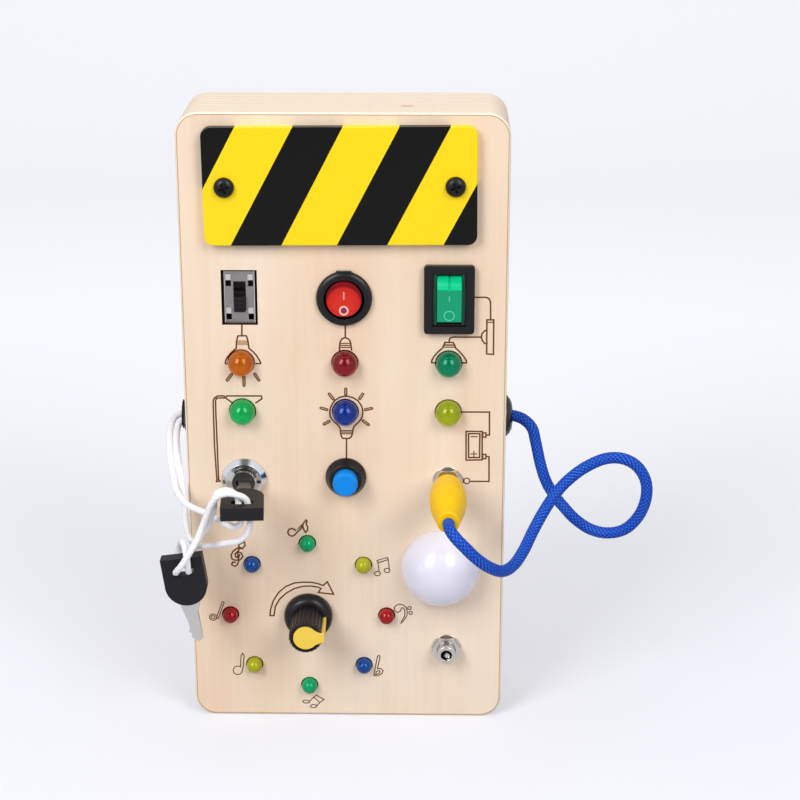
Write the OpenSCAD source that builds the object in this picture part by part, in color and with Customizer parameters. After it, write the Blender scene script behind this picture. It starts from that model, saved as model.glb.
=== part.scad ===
// Wooden busy board: a slim upright plywood box whose front carries switches,
// a key lock, lamps, a dial, two jacks and a light dome, with the battery bay
// under a screwed-down plate and the wiring inside.
// Frame: origin at the centre of the base, X to the right, Y to the back, Z up.

/* [Box] */
// Width of the board
board_w = 100; // [98:1:120]
// Height of the board
board_h = 200; // [200:1:230]
// Thickness of the closed box, front to back
board_d = 32; // [32:1:40]
// Radius of the upright corners
corner_r = 7; // [4:0.5:7]
// Thickness of the front and back panels
panel_t = 5; // [5:0.5:5.5]
// Width of the wood in the two frames between the panels
frame_w = 8; // [7:0.5:8]

/* [Layout on the front] */
// Distance from the middle to the left and right columns
column_x = 32; // [32:0.5:33]
// Height of the three switches
switch_z = 143; // [142:0.5:144]
// Height of the upper row of lamps
upper_lamp_z = 122.2; // [121:0.1:123]
// Height of the lower row of lamps
lower_lamp_z = 106.2; // [105:0.1:107]
// Height of the push-button
button_z = 84.4; // [83:0.1:86]
// Height of the key lock
lock_z = 83.4; // [82:0.1:85]
// Height of the upper jack, which the plug is in
jack_z = 83.2; // [82:0.1:85]
// Height of the lower, open jack
lower_jack_z = 24.9; // [24:0.1:26]
// Place of the dial, measured from the middle
dial_x = -12.5; // [-13:0.5:-12]
// Height of the dial
dial_z = 36.4; // [36:0.1:37]
// Place of the light dome, measured from the middle
dome_x = 30; // [29:0.5:31]
// Height of the light dome
dome_z = 53.6; // [53:0.1:55]

/* [Battery bay and plate] */
// Width of the striped plate
plate_w = 82; // [78:0.5:84]
// Height of the striped plate
plate_h = 36; // [35:0.5:36]
// Thickness of the striped plate
plate_t = 3; // [2.5:0.1:3.5]
// Height of the middle of the plate
plate_z = 178.3; // [178:0.1:178.5]
// Place of the plate, measured from the middle of the board
plate_x = -0.9; // [-1.5:0.1:0]
// How far the plate sits out of true
plate_tilt = 0.4; // [0:0.1:0.5]
// Distance between the two plate screws
plate_screw_gap = 69; // [68:0.5:70]
// Width of the opening that the battery tray sits in
bay_w = 59; // [58.8:0.1:59.5]
// Height of the opening that the battery tray sits in
bay_h = 30.6; // [30.4:0.1:30.8]
// Diameter of one battery cell
cell_d = 14.2; // [13.5:0.1:14.2]
// Length of one battery cell without its nub
cell_l = 48.5; // [46:0.5:48.5]

/* [Switches] */
// Width of the window of the slide switch
window_w = 11; // [11:0.1:11.5]
// Height of the window of the slide switch
window_h = 17.4; // [17.2:0.1:17.8]
// How far the slide switch moves
slide_travel = 4; // [3:0.5:4]
// Angle that each rocker swings through
rocker_swing = 20; // [16:1:20]
// Diameter of the bezel of the round rocker switch
round_bezel_d = 17.1; // [16.8:0.1:18]
// Width of the bezel of the rectangular rocker switch
rect_bezel_w = 15.4; // [15:0.1:16]
// Height of the bezel of the rectangular rocker switch
rect_bezel_h = 21.5; // [21:0.1:22]
// Height of both rocker bezels above the panel
bezel_t = 2; // [1.8:0.1:2.2]
// How far the push-button moves
button_travel = 2.5; // [1.5:0.1:2.5]
// Height of the push-button cap above the panel
button_top = 7.6; // [7:0.1:8]

/* [Lamps] */
// Diameter of the large lamps
big_led_d = 8; // [8:0.1:8.2]
// Diameter of the small lamps
small_led_d = 5; // [4.8:0.1:5]
// Radius of the circle of small lamps round the dial
ring_r = 25.2; // [25:0.1:25.4]
// Radius of the light dome
dome_r = 12.5; // [12:0.1:13]
// Wall of the light dome
dome_wall = 1.2; // [1:0.1:1.5]

/* [Lock and keys] */
// Diameter of the bevelled flange of the lock
lock_flange_d = 14.3; // [13.5:0.1:14.5]
// Diameter of the turning core of the lock
core_d = 7; // [6.8:0.1:7]
// Distance from the panel to the flat end of the key's head
key_reach = 28.8; // [28.5:0.1:31]
// Width of the head of a key
head_w = 13.1; // [12.8:0.1:13.4]
// Length of the head of a key
head_l = 16.2; // [16:0.1:16.6]
// Thickness of the head of a key
head_t = 4.2; // [4:0.1:4.4]
// Length of blade that stands out of the head
blade_l = 13.5; // [13:0.1:14]
// Thickness of the blade
blade_t = 1.2; // [1:0.1:1.3]
// How far the key leans to the right in the lock
key_lean = 3.5; // [0:0.1:3.5]

/* [Jacks and plug] */
// Diameter of the socket of a jack
socket_d = 3.6; // [3.58:0.01:3.65]
// Diameter of the pin of the plug
pin_d = 3.5; // [3.45:0.01:3.5]
// Length of the pin of the plug
pin_l = 14; // [13:0.5:14]
// Length of the plug's moulded body
plug_l = 27.7; // [26:0.1:28]
// Largest diameter of the plug's moulded body
plug_d = 11.4; // [11:0.1:11.6]

/* [Dial] */
// Diameter of the skirt of the dial knob
skirt_d = 15.6; // [15:0.1:16]
// Diameter of the fluted grip of the dial knob
grip_d = 10.6; // [10.4:0.1:10.8]
// Height of the dial knob above the panel
knob_h = 17; // [16:0.1:18]
// Number of flutes round the dial knob
flute_count = 24; // [18:1:30]

/* [Cords] */
// Diameter of the braided cord
cord_d = 3.6; // [3.4:0.1:3.6]
// Diameter of the white cord that holds the keys
string_d = 2; // [1.8:0.1:2]
// Height of the two cord outlets in the sides
outlet_z = 99.4; // [99:0.1:100]
// Diameter of a cord outlet's rubber grommet
grommet_d = 13.5; // [13:0.1:14]

/* [Hidden] */
$fn = 48;
fit = 0.05;          // radial running clearance
seat = 0.1;          // clearance round a piece that is pushed into its hole
far = 60;            // length of a cutter that has to run right through
bay_drop = 2;        // the tray sits lower than the plate, clear of the top wood
front_y = -board_d / 2;
back_y = board_d / 2;
frame_t = board_d / 2 - panel_t;
pivot_r = 1;         // radius of the rocker trunnions
round_bore_r = 6.2;  // radius of the well that the round rocker swings in
rect_well_w = 7.9;   // width of the well that the rectangular rocker swings in
rect_swing_r = 7.4;  // radius that the ends of the rectangular rocker are turned to
round_face = 3.4;    // height of the round rocker's face above its pivot
rect_face = 5;       // height of the rectangular rocker's face above its pivot
led_hole_gap = 0.25; // clearance that shows round a large lamp
core_face = 3.5;     // height of the lock core's face above the panel
jack_top = 5.7;      // height of a jack's barrel above the panel
jack_r = 2.95;       // radius of a jack's barrel
plug_start = 5.9;    // distance from the panel to the plug's shoulder
pcb_top = -15;       // level of the circuit board's front, under the panel face
button_r = 3.9;      // radius of the push-button cap
shaft_r = 2.95;      // radius of the dial shaft
slot_from_end = 4.8; // distance from a key head's flat end to its slot
slot_w = 7;          // width of the slot in a key head
slot_h = 2.8;        // height of the slot in a key head
spare_x = -50.7;     // middle of the flat end of the spare key's head
spare_y = -32.5;
spare_z = 64.3;
spare_tilt = -8;     // swing of the hanging spare key, seen from the front

// Each small lamp round the dial: its angle and the name of its colour.
ring_green = [90, 270];
ring_yellow = [45, 225];
ring_red = [0, 180];
ring_blue = [315, 135];

// Route of the braided cord, from inside the right grommet to the plug.
braid_route = [
  [44, 0, 99.4], [48.5, 0, 99.4], [52.6, 0, 99.4], [56.2, -1, 98.4], [58.9, -2, 95.8],
  [60.1, -3, 91.5], [61.7, -5, 84.6], [63.6, -6, 79.1], [66.3, -7, 74.7], [69.3, -8, 71.2],
  [72.9, -10, 67.9], [77.7, -12, 65.3], [83, -14, 64.9], [88.2, -16, 67.1], [92.2, -17, 71.9],
  [94.2, -18, 78.2], [94, -18, 84.1], [91.2, -18, 89.1], [86.6, -18, 91.8], [81.2, -17, 91.4],
  [75.4, -16.5, 88.5], [70.2, -17.5, 84.8], [66, -20, 81.1], [62, -25, 77], [58.3, -31, 72.6],
  [55.2, -38, 69.2], [51.9, -45, 67.5], [48.2, -51, 68.2], [44, -55.5, 71.6], [40, -57.6, 75.5],
  [36.6, -58, 79.2], [34, -56.8, 81.6], [32.5, -54.2, 82.9], [32, -49.8, 83.2]
];

// Route of the white cord: out of the left grommet, up through the slot of the
// key in the lock, round the head of the spare key and back the same way.
string_route = [
  [-44, -1.1, 99.4], [-48.5, -1.1, 99.3], [-51.6, -1.5, 98.7], [-53.8, -3.4, 96.8],
  [-54.1, -7.5, 93.2], [-53.2, -12, 88.2], [-51.9, -16.4, 82.9], [-50.7, -20, 77], [-50, -23, 71],
  [-48.8, -25, 66.9], [-46, -26.8, 65.3], [-42, -29.79, 66.4], [-37, -33.61, 69],
  [-32.5, -37.23, 71.4], [-29.6, -39.12, 74.4], [-28.4, -40, 78], [-28.3, -40, 81.5],
  [-28.5, -40, 84], [-29.4, -40.4, 86.7], [-31.9, -41.45, 88.5], [-35, -41.3, 88.8],
  [-37.9, -40.5, 87.4], [-40, -39.6, 84.5], [-41.4, -38.7, 81], [-43.1, -37.83, 76.5],
  [-45, -38.34, 72], [-47.5, -38.9, 67.6], [-49.9, -38.4, 63.6], [-51.6, -37, 61.1],
  [-52.2, -35.1, 59.7], [-52.2, -32.5, 59.2], [-52.2, -29.9, 59.7], [-52.2, -28, 61.5],
  [-52, -27.4, 64.2], [-51.3, -28.7, 66.9], [-50.3, -31.3, 68.4], [-49.3, -34, 67.9],
  [-48.6, -36, 65.9], [-48.3, -36.8, 63.5], [-48.2, -36.6, 61.7], [-48.2, -35.2, 60.15],
  [-48.2, -32.5, 59.8], [-48.2, -30.2, 60], [-48, -28.6, 61.4], [-47.4, -28.2, 64],
  [-46.5, -29.2, 66.8], [-45.5, -31.23, 69.3], [-44.2, -33.57, 71.7], [-42.1, -35.4, 75],
  [-40.5, -36.4, 79], [-39.5, -37.1, 82.8], [-39.3, -37.4, 85.4], [-38.1, -37.7, 87.5],
  [-35.7, -38.1, 88.5], [-33.3, -38.6, 88], [-31.9, -39.35, 86.8], [-31.6, -39.9, 84.6],
  [-31.2, -39.9, 82.2], [-31, -39.8, 80.1], [-31.3, -39.4, 78.2], [-32.5, -38.4, 76.8],
  [-34.2, -37, 76.2], [-38.2, -33.5, 76.6], [-43, -29.33, 77.4], [-47.3, -26.4, 77.9],
  [-50.6, -23.2, 78.8], [-53.1, -19.8, 81.2], [-54.7, -15.5, 85.2], [-55.9, -10.5, 89.8],
  [-56.4, -5.6, 94.5], [-55.5, -1, 98.1], [-52.2, 0.9, 99.4], [-48.5, 1.1, 99.4], [-44, 1.1, 99.4]
];

// ---- shared shapes ---------------------------------------------------------

// Puts its children on the front: their X stays, their Y goes up, their Z points out.
module on_front(x, z) translate([x, front_y, z]) rotate([90, 0, 0]) children();

// Flat rectangle with round corners, centred.
module round_rect(w, h, r) {
  square([w - 2 * r, h], center = true);
  square([w, h - 2 * r], center = true);
  for (sx = [-1, 1], sy = [-1, 1])
    translate([sx * (w / 2 - r), sy * (h / 2 - r)]) circle(r = r);
}

// Upright slab of the board's outline, from depth y0 and t thick.
module board_slab(y0, t)
  translate([0, y0 + t, board_h / 2]) rotate([90, 0, 0])
    linear_extrude(t) round_rect(board_w, board_h, corner_r);

// Box centred on X and Y, from z0 to z1.
module block(w, h, z0, z1) translate([-w / 2, -h / 2, z0]) cube([w, h, z1 - z0]);

// Round bar from z0 to z1.
module bar(r, z0, z1) translate([0, 0, z0]) cylinder(r = r, h = z1 - z0);

// Hexagon nut across flats af, from z0 to z1, on a thread of radius r.
module hex_nut(af, r, z0, z1) difference() {
  translate([0, 0, z0]) cylinder(r = af / sqrt(3), h = z1 - z0, $fn = 6);
  bar(r, z0 - 1, z1 + 1);
}

// Half of a ball, flat side down.
module half_ball(r) intersection() {
  sphere(r = r);
  block(2 * r + 2, 2 * r + 2, 0, r + 1);
}

// Places on the circle of small lamps.
module at_ring(angles) for (a = angles)
  on_front(dial_x + ring_r * cos(a), dial_z + ring_r * sin(a)) children();

// Middle of the plate, and of the battery bay a little below it.
module on_plate() on_front(plate_x, plate_z) rotate([0, 0, plate_tilt]) children();
module in_bay() on_plate() translate([0, -bay_drop, 0]) children();
module at_plate_screws() for (s = [-1, 1])
  on_plate() translate([s * plate_screw_gap / 2, 0, 0]) children();

// ---- box -------------------------------------------------------------------

// Holes of one round shape in the front panel.
module front_hole(x, z, r) on_front(x, z) bar(r, -panel_t - 1, 1);

module front_panel() color("BurlyWood") difference() {
  board_slab(front_y, panel_t);
  in_bay() block(bay_w, bay_h, -panel_t - 1, 1);
  at_plate_screws() bar(1.3 + fit, -panel_t - 1, 1);
  on_front(-column_x, switch_z) block(window_w, window_h, -panel_t - 1, 1);
  front_hole(0, switch_z, 7.5);
  on_front(column_x, switch_z) block(13.2, 19.2, -panel_t - 1, 1);
  for (x = [-column_x, 0, column_x], z = [upper_lamp_z, lower_lamp_z])
    front_hole(x, z, big_led_d / 2 + led_hole_gap);
  front_hole(0, button_z, 6);
  front_hole(-column_x, lock_z, 6);
  front_hole(column_x, jack_z, jack_r + seat);
  front_hole(column_x, lower_jack_z, jack_r + seat);
  front_hole(dome_x, dome_z, small_led_d / 2 + 0.1);
  front_hole(dial_x, dial_z, 3.6);
  at_ring([0:45:315]) bar(small_led_d / 2 + 0.3, -panel_t - 1, 1);
}

// One of the two wooden frames that make the sides of the box.
module frame_ring(y0) difference() {
  board_slab(y0, frame_t);
  translate([0, y0 + frame_t + 1, board_h / 2]) rotate([90, 0, 0])
    linear_extrude(frame_t + 2)
      round_rect(board_w - 2 * frame_w, board_h - 2 * frame_w, 3);
  translate([-far, 0, outlet_z]) rotate([0, 90, 0]) cylinder(r = 5 + seat, h = 2 * far);
}

module front_frame() color("Wheat") frame_ring(-frame_t);

// Places of the four wood screws in the back.
module at_back_screws() for (sx = [-1, 1], z = [5, board_h - 5])
  translate([sx * (board_w / 2 - 5), back_y, z]) rotate([90, 0, 0]) children();

module rear_frame() color("Wheat") difference() {
  frame_ring(0);
  at_back_screws() bar(1.25 + fit, 0, 14);
}

module back_panel() color("BurlyWood") difference() {
  board_slab(back_y - panel_t, panel_t);
  at_back_screws() {
    bar(1.25 + fit, -1, panel_t + 1);
    translate([0, 0, -0.01]) cylinder(r1 = 2.6 + fit, r2 = 1.25 + fit, h = 1.6);
  }
}

module back_screws() color("Silver") at_back_screws() difference() {
  union() {
    cylinder(r1 = 2.6, r2 = 1.25, h = 1.55);
    bar(1.25, 1.5, 13);
  }
  block(2.8, 0.5, -1, 0.6);
  block(0.5, 2.8, -1, 0.6);
}

// ---- battery bay -----------------------------------------------------------

module striped_plate() color("Gold") difference() {
  on_plate() linear_extrude(plate_t) round_rect(plate_w, plate_h, 2.8);
  at_plate_screws() bar(1.6, -1, plate_t + 1);
}

// Domed head with a cross recess, on a plain shank.
module plate_screws() color([0.1, 0.1, 0.11]) at_plate_screws() difference() {
  union() {
    translate([0, 0, plate_t]) rotate_extrude()
      polygon([[0, 0], [3.05, 0], [3.05, 0.7], [2.6, 1.5], [1.7, 2.0], [0, 2.2]]);
    bar(1.3, -9, plate_t + 0.5);
  }
  rotate([0, 0, 20]) block(3.2, 0.7, plate_t + 0.9, plate_t + 3);
  rotate([0, 0, 20]) block(0.7, 3.2, plate_t + 0.9, plate_t + 3);
}

module battery_tray() color([0.12, 0.12, 0.13]) in_bay() difference() {
  block(bay_w - 0.4, bay_h - 0.4, -16, -0.5);
  block(55.4, 28.8, -14.8, 1);
  for (s = [-1, 1]) translate([s * 20, 0, 0]) block(3, 20, -17, -14);
}

// Axes of the two cells, which lie side by side and point opposite ways.
module at_cells() in_bay() for (s = [-1, 1])
  translate([0, s * (cell_d / 2 + 0.05), -7.65]) rotate([0, s * 90, 0]) children();

module battery_cells() color("DarkOrange") at_cells() {
  bar(cell_d / 2, -cell_l / 2 - 0.7, cell_l / 2 - 0.7);
  bar(2.7, cell_l / 2 - 0.7, cell_l / 2 + 0.8);
}

// Plate and cone spring at the flat end, plate and stud at the nub.
module battery_contacts() color("Silver") at_cells() {
  block(9, 9, -27.5, -27);
  translate([0, 0, -27]) cylinder(r1 = 3.6, r2 = 2, h = 2);
  block(9, 9, 27, 27.5);
  bar(2, 25.1, 27);
}

// ---- slide switch ----------------------------------------------------------

module slide_switch_can() color("Gray") on_front(-column_x, switch_z) {
  difference() {
    block(10.6, 17, -7.8, -1.4);
    block(9.6, 16, -9, -1.9);
    block(3.8, 9.5, -4, 0);
    for (sx = [-1, 1]) {
      translate([sx * 3.4, 4.2, 0]) block(1.6, 2, -4, 0);
      translate([sx * 3.4, -6.4, 0]) block(1.6, 2, -4, 0);
    }
  }
  for (sx = [-1, 1], sy = [6.2, -4.4])
    translate([sx * 3.4, sy, 0]) block(1.6, 1.9, -1.5, -0.9);
}

module slide_switch_base() color("SaddleBrown") on_front(-column_x, switch_z)
  block(9.5, 15.9, -7.8, -5.2);

module slide_switch_pins() color("Silver") on_front(-column_x, switch_z)
  for (sy = [-4.7, 0, 4.7]) translate([0, sy, 0]) block(1.6, 0.6, -12, -7.8);

// Ribbed thumb piece on a wide shoe that slides between the can and the base.
module slide_switch_knob() color([0.08, 0.08, 0.09])
  on_front(-column_x, switch_z) translate([0, -slide_travel / 2 - 0.1, 0]) difference() {
    union() {
      block(8, 7, -5.1, -2);
      block(3.5, 5, -2.1, 0.4);
    }
    for (sy = [-1.5, -0.2, 1.1]) translate([0, sy, 0]) block(5, 0.6, -0.1, 1);
  }

// ---- rocker switches -------------------------------------------------------

// Side view of a rocker: a face that dips 0.15 mm in the middle, ends turned about
// the pivot.
module rocker_side(r, face) intersection() {
  circle(r = r);
  polygon([[-r, -r], [r, -r], [r, face + 0.04 * (r - 3)], [0, face - 0.15],
           [-r, face + 0.04 * (r - 3)]]);
}

// Rocker of width w at its pivot: swung -1 is its upper end pressed in, 1 its lower end.
module rocker_block(w, r, face, swung) rotate([swung * rocker_swing / 2, 0, 0])
  rotate([90, 0, 90]) translate([0, 0, -w / 2]) linear_extrude(w) rocker_side(r, face);

module trunnions(reach) rotate([0, 90, 0]) bar(pivot_r, -reach, reach);

module round_switch_body() color([0.13, 0.12, 0.13]) on_front(0, switch_z)
  difference() {
    union() {
      rotate_extrude()
        polygon([[0, 0], [round_bezel_d / 2, 0], [round_bezel_d / 2, 0.9],
                 [8.2, 1.5], [7.6, 1.9], [7, bezel_t], [0, bezel_t]]);
      translate([0, 8.1, 0]) block(4.6, 1.2, 0, 1.2);
      bar(7.4, -12, 0.5);
    }
    bar(round_bore_r, -6.8, bezel_t + 1);
    rotate([0, 90, 0]) bar(pivot_r + fit, -7, 7);
  }

module round_rocker() color("Red") on_front(0, switch_z) {
  intersection() {
    rotate([-rocker_swing / 2, 0, 0]) bar(5.4, -8, 8);
    rocker_block(14, 6.1, round_face, -1);
  }
  trunnions(6.8);
}

module rect_switch_body() color([0.13, 0.12, 0.13]) on_front(column_x, switch_z)
  difference() {
    union() {
      linear_extrude(bezel_t) round_rect(rect_bezel_w, rect_bezel_h, 1);
      block(13, 19, -12, 0.5);
    }
    block(10.4, 16.8, 1.2, bezel_t + 1);
    block(rect_well_w, 15.5, -7.9, bezel_t + 1);
    rotate([0, 90, 0]) bar(pivot_r + fit, -5.2, 5.2);
  }

module rect_rocker() color("MediumSeaGreen") on_front(column_x, switch_z) {
  rocker_block(7.4, rect_swing_r, rect_face, 1);
  trunnions(5.1);
}

// Two flat tabs behind each of the rocker switches.
module rocker_terminals() color("Goldenrod") for (x = [0, column_x], s = [-1, 1])
  on_front(x, switch_z) translate([0, s * 3.5, 0]) block(3, 0.8, -18.5, -12);

// ---- lamps -----------------------------------------------------------------

// Lamp of diameter d: flange behind the panel, round barrel, domed tip, two legs.
module led(d, equator, leg_end) {
  bar(d / 2, -panel_t - 0.1, equator);
  translate([0, 0, equator]) half_ball(d / 2);
  bar(d / 2 + 0.45, -panel_t - 1.1, -panel_t - 0.05);
  for (s = [-1, 1]) translate([s * 1.27, 0, 0]) block(0.5, 0.5, leg_end, -panel_t - 1);
}

module big_led(x, z) on_front(x, z) led(big_led_d, 1.3, -14);
module small_leds(angles) at_ring(angles) led(small_led_d, 0.2, pcb_top);

module lamp_orange() color("DarkOrange") big_led(-column_x, upper_lamp_z);
module lamp_dark_red() color("DarkRed") big_led(0, upper_lamp_z);
module lamp_dark_green() color("SeaGreen") big_led(column_x, upper_lamp_z);
module lamp_green() color("LimeGreen") big_led(-column_x, lower_lamp_z);
module lamp_blue() color("MediumBlue") big_led(0, lower_lamp_z);
module lamp_lime() color("YellowGreen") big_led(column_x, lower_lamp_z);
module ring_leds_green() color("SeaGreen") small_leds(ring_green);
module ring_leds_yellow() color("YellowGreen") small_leds(ring_yellow);
module ring_leds_red() color("FireBrick") small_leds(ring_red);
module ring_leds_blue() color("RoyalBlue") small_leds(ring_blue);

// ---- push-button -----------------------------------------------------------

module button_body() color([0.12, 0.11, 0.12]) on_front(0, button_z) difference() {
  union() {
    rotate_extrude()
      polygon([[0, 0], [6.4, 0], [6.4, 0.9], [6, 1.6], [5.1, 3.4], [4.6, 3.6], [0, 3.6]]);
    bar(5.9, -16, 0.5);
    for (s = [-1, 1]) translate([s * 2.5, 0, 0]) block(0.7, 2.8, -20, -15.5);
  }
  bar(button_r + 0.08, -5, 4);
  bar(5, -14, -4.5);
}

// Flanged cap that the spring holds up against the shoulder of the body.
module button_cap() color("DodgerBlue") on_front(0, button_z) {
  bar(button_r, -6, button_top - 0.7);
  translate([0, 0, button_top - 0.7])
    cylinder(r1 = button_r, r2 = button_r - 0.6, h = 0.7);
  bar(4.9, -6.2, -4.6);
  bar(1.4, -9, -6);
}

module button_nut() color("Silver") on_front(0, button_z)
  hex_nut(14, 5.9 + fit, -panel_t - 2.6, -panel_t - 0.1);

// ---- key lock --------------------------------------------------------------

// Bevelled flange with a groove over part of the turn, on a threaded barrel.
module lock_body() color("Silver") on_front(-column_x, lock_z) difference() {
  union() {
    rotate_extrude()
      polygon([[0, 0], [lock_flange_d / 2, 0], [lock_flange_d / 2, 0.8],
               [5.7, 2.4], [0, 2.4]]);
    bar(4.1, 0, core_face - 0.2);
    bar(5.9, -17, 0.5);
  }
  bar(core_d / 2 + 0.08, -15.5, 5);
  bar(2.1, -18, -14);
  translate([0, 0, 1.2]) intersection() {
    difference() {
      bar(5.4, 0, 3);
      bar(4.1, -1, 4);
    }
    polygon_wedge(-5, 135);
  }
}

// Thick wedge between two angles, for cutting a groove over part of a turn.
module polygon_wedge(a0, a1) linear_extrude(3)
  polygon(concat([[0, 0]], [for (i = [0:4]) let (a = a0 + (a1 - a0) * i / 4)
    9 * [cos(a), sin(a)]]));

module lock_core() color("DimGray") on_front(-column_x, lock_z) difference() {
  union() {
    bar(core_d / 2, -15.4, core_face);
    bar(2, -19, -15);
  }
  block(4.7, 1.5, -3, core_face + 1);
}

module lock_nut() color("Silver") on_front(-column_x, lock_z)
  hex_nut(14, 5.9 + fit, -panel_t - 2.6, -panel_t - 0.1);

module lock_terminals() color("Goldenrod") on_front(-column_x, lock_z)
  for (s = [-1, 1]) translate([s * 4, 0, 0]) block(0.8, 3, -23, -17);

// Key lying in its own frame: flat end at 0, blade towards +Y, thickness along Z.
module key_head() difference() {
  union() {
    translate([-head_w / 2, 0, -head_t / 2]) cube([head_w, head_l - head_w / 2, head_t]);
    translate([0, head_l - head_w / 2, -head_t / 2]) cylinder(r = head_w / 2, h = head_t);
  }
  translate([0, slot_from_end, 0]) block(slot_w - slot_h, slot_h, -head_t, head_t);
  for (s = [-1, 1]) translate([s * (slot_w - slot_h) / 2, slot_from_end, 0])
    bar(slot_h / 2, -head_t, head_t);
  translate([0, head_l - 3.9, 0]) block(6.1, 8, -blade_t / 2 - fit, blade_t / 2 + fit);
}

module key_blade() translate([0, head_l, -blade_t / 2]) linear_extrude(blade_t)
  polygon([[-3, -7], [3, -7], [3, 0.6], [2, 3.4], [2, 12.2], [0.6, blade_l],
           [-1.4, 11.8], [-1.2, 10.4], [-2, 9.6], [-1.6, 8.6], [-1.6, 6.5], [-3, 0.6]]);

// In the lock the key points inwards and leans a little, with its head level.
module in_lock() translate([-column_x, front_y, lock_z]) rotate([0, 0, key_lean])
  translate([0, -key_reach, 0]) children();

// The spare key hangs by its slot, a little out of plumb.
module hanging() translate([spare_x, spare_y, spare_z]) rotate([0, spare_tilt, 0])
  rotate([-90, 0, 0]) children();

module lock_key_head() color([0.16, 0.15, 0.16]) in_lock() key_head();
module lock_key_blade() color("Silver") in_lock() key_blade();
module spare_key_head() color([0.16, 0.15, 0.16]) hanging() key_head();
module spare_key_blade() color("Silver") hanging() key_blade();

// ---- jacks and plug --------------------------------------------------------

module jack() difference() {
  union() {
    bar(jack_r, -panel_t - 0.5, jack_top);
    bar(4.4, -15, -panel_t - 0.1);
    for (s = [-1, 1]) translate([s * 2.6, 0, 0]) block(0.5, 2, -20, -14.5);
  }
  bar(socket_d / 2, -pin_l + jack_top - 2, jack_top + 1);
}

module upper_jack() color("Silver") on_front(column_x, jack_z) jack();
module lower_jack() color("Silver") on_front(column_x, lower_jack_z) jack();

// A washer and a hexagon nut on each jack.
module jack_nuts() color("Silver") for (z = [jack_z, lower_jack_z])
  on_front(column_x, z) {
    difference() {
      bar(4.8, 0.02, 0.5);
      bar(jack_r + fit, -1, 1);
    }
    hex_nut(8, jack_r + fit, 0.55, 2.5);
  }

// Moulded grip that swells in the middle and draws in to the cord.
module plug_body() color("Gold") on_front(column_x, jack_z) difference() {
  translate([0, 0, plug_start]) rotate_extrude()
    polygon([[0, 0], [4.5, 0], [4.9, 0.8], [5.3, 4.5], [plug_d / 2, 9],
             [plug_d / 2, 12.5], [5.45, 12.7], [5.45, 13.4], [5.6, 13.6],
             [5.2, 17.5], [5.05, 17.7], [5.05, 18.3], [5.1, 18.5], [4.2, 22.5],
             [3.6, 25], [3.5, plug_l - 0.4], [3.1, plug_l], [0, plug_l]]);
  bar(pin_d / 2 + 0.02, 0, plug_start + 4);
}

module plug_pin() color("Silver") on_front(column_x, jack_z) {
  bar(pin_d / 2, plug_start - pin_l + 1, plug_start + 3.5);
  translate([0, 0, plug_start - pin_l + 0.1])
    cylinder(r1 = 1, r2 = pin_d / 2, h = 0.9);
}

// ---- light dome ------------------------------------------------------------

module light_dome() color("GhostWhite") on_front(dome_x, dome_z) difference() {
  half_ball(dome_r);
  half_ball(dome_r - dome_wall);
}

module dome_led() color("White") on_front(dome_x, dome_z) led(small_led_d, 2.2, -14);

// ---- dial ------------------------------------------------------------------

module dial_body() color("DimGray") on_front(dial_x, dial_z) difference() {
  union() {
    bar(8.2, -14, -panel_t - 0.1);
    bar(3.5, -panel_t - 0.5, 2.9);
    for (s = [-1, 0, 1]) translate([s * 4, -8.6, 0]) block(1.4, 4, -10.6, -10);
  }
  bar(shaft_r + fit, -12.5, 4);
}

module dial_nut() color("Silver") on_front(dial_x, dial_z)
  hex_nut(9.5, 3.5 + fit, 0.05, 2);

module dial_shaft() color("Silver") on_front(dial_x, dial_z) bar(shaft_r, -12, 13);

// Skirted knob: the skirt is turned, the grip is fluted, the underside is hollow.
module dial_knob() color([0.12, 0.1, 0.11]) on_front(dial_x, dial_z) difference() {
  union() {
    rotate_extrude()
      polygon(concat([[0, 0.6], [skirt_d / 2, 0.6]],
        [for (a = [0:15:90]) [5.2 + 2.6 * cos(a), 1.4 + 2.9 * sin(a)]], [[0, 4.3]]));
    translate([0, 0, 2]) cylinder(r = grip_d / 2, h = knob_h - 2.6);
    translate([0, 0, knob_h - 0.6])
      cylinder(r1 = grip_d / 2, r2 = grip_d / 2 - 0.5, h = 0.6);
  }
  bar(6, 0, 3.1);
  bar(shaft_r + 0.02, 1, 13.2);
  for (i = [0:flute_count - 1]) rotate([0, 0, 360 * i / flute_count])
    translate([grip_d / 2 + 0.1, 0, 0]) bar(0.42, 4.3, knob_h + 1);
  translate([0, 0, knob_h - 0.8]) linear_extrude(2) pointer_face(fit);
  translate([4.9, -0.9, 3.5]) cube([4, 1.8, knob_h]);
}

// Disc with a pointed nose, larger all round by grow.
module pointer_face(grow) {
  circle(r = 4.25 + grow);
  polygon([[1.4, 4 + grow], [5.9 + grow, 0.85 + grow],
           [5.9 + grow, -0.85 - grow], [1.4, -4 - grow]]);
}

// Cap disc with a nose that runs down the side of the grip to the skirt.
module dial_pointer() color("Gold") on_front(dial_x, dial_z) {
  translate([0, 0, knob_h - 0.8]) linear_extrude(0.9) pointer_face(0);
  translate([4.95, -0.85, 3.55]) cube([0.95, 1.7, knob_h - 3.45]);
}

// ---- inside ----------------------------------------------------------------

module circuit_board() color("DarkGreen") on_front(dial_x, dial_z)
  block(57, 54.8, pcb_top - 1.6, pcb_top - 0.02);

module board_chips() color([0.1, 0.1, 0.1]) on_front(dial_x, dial_z) {
  translate([0, 8, 0]) block(10, 6, pcb_top - 3.4, pcb_top - 1.6);
  translate([-16, -12, 0]) block(5, 4, pcb_top - 3.2, pcb_top - 1.6);
  translate([15, -10, 0]) bar(3.1, pcb_top - 7.5, pcb_top - 1.6);
}

// ---- cord outlets and cords ------------------------------------------------

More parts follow.
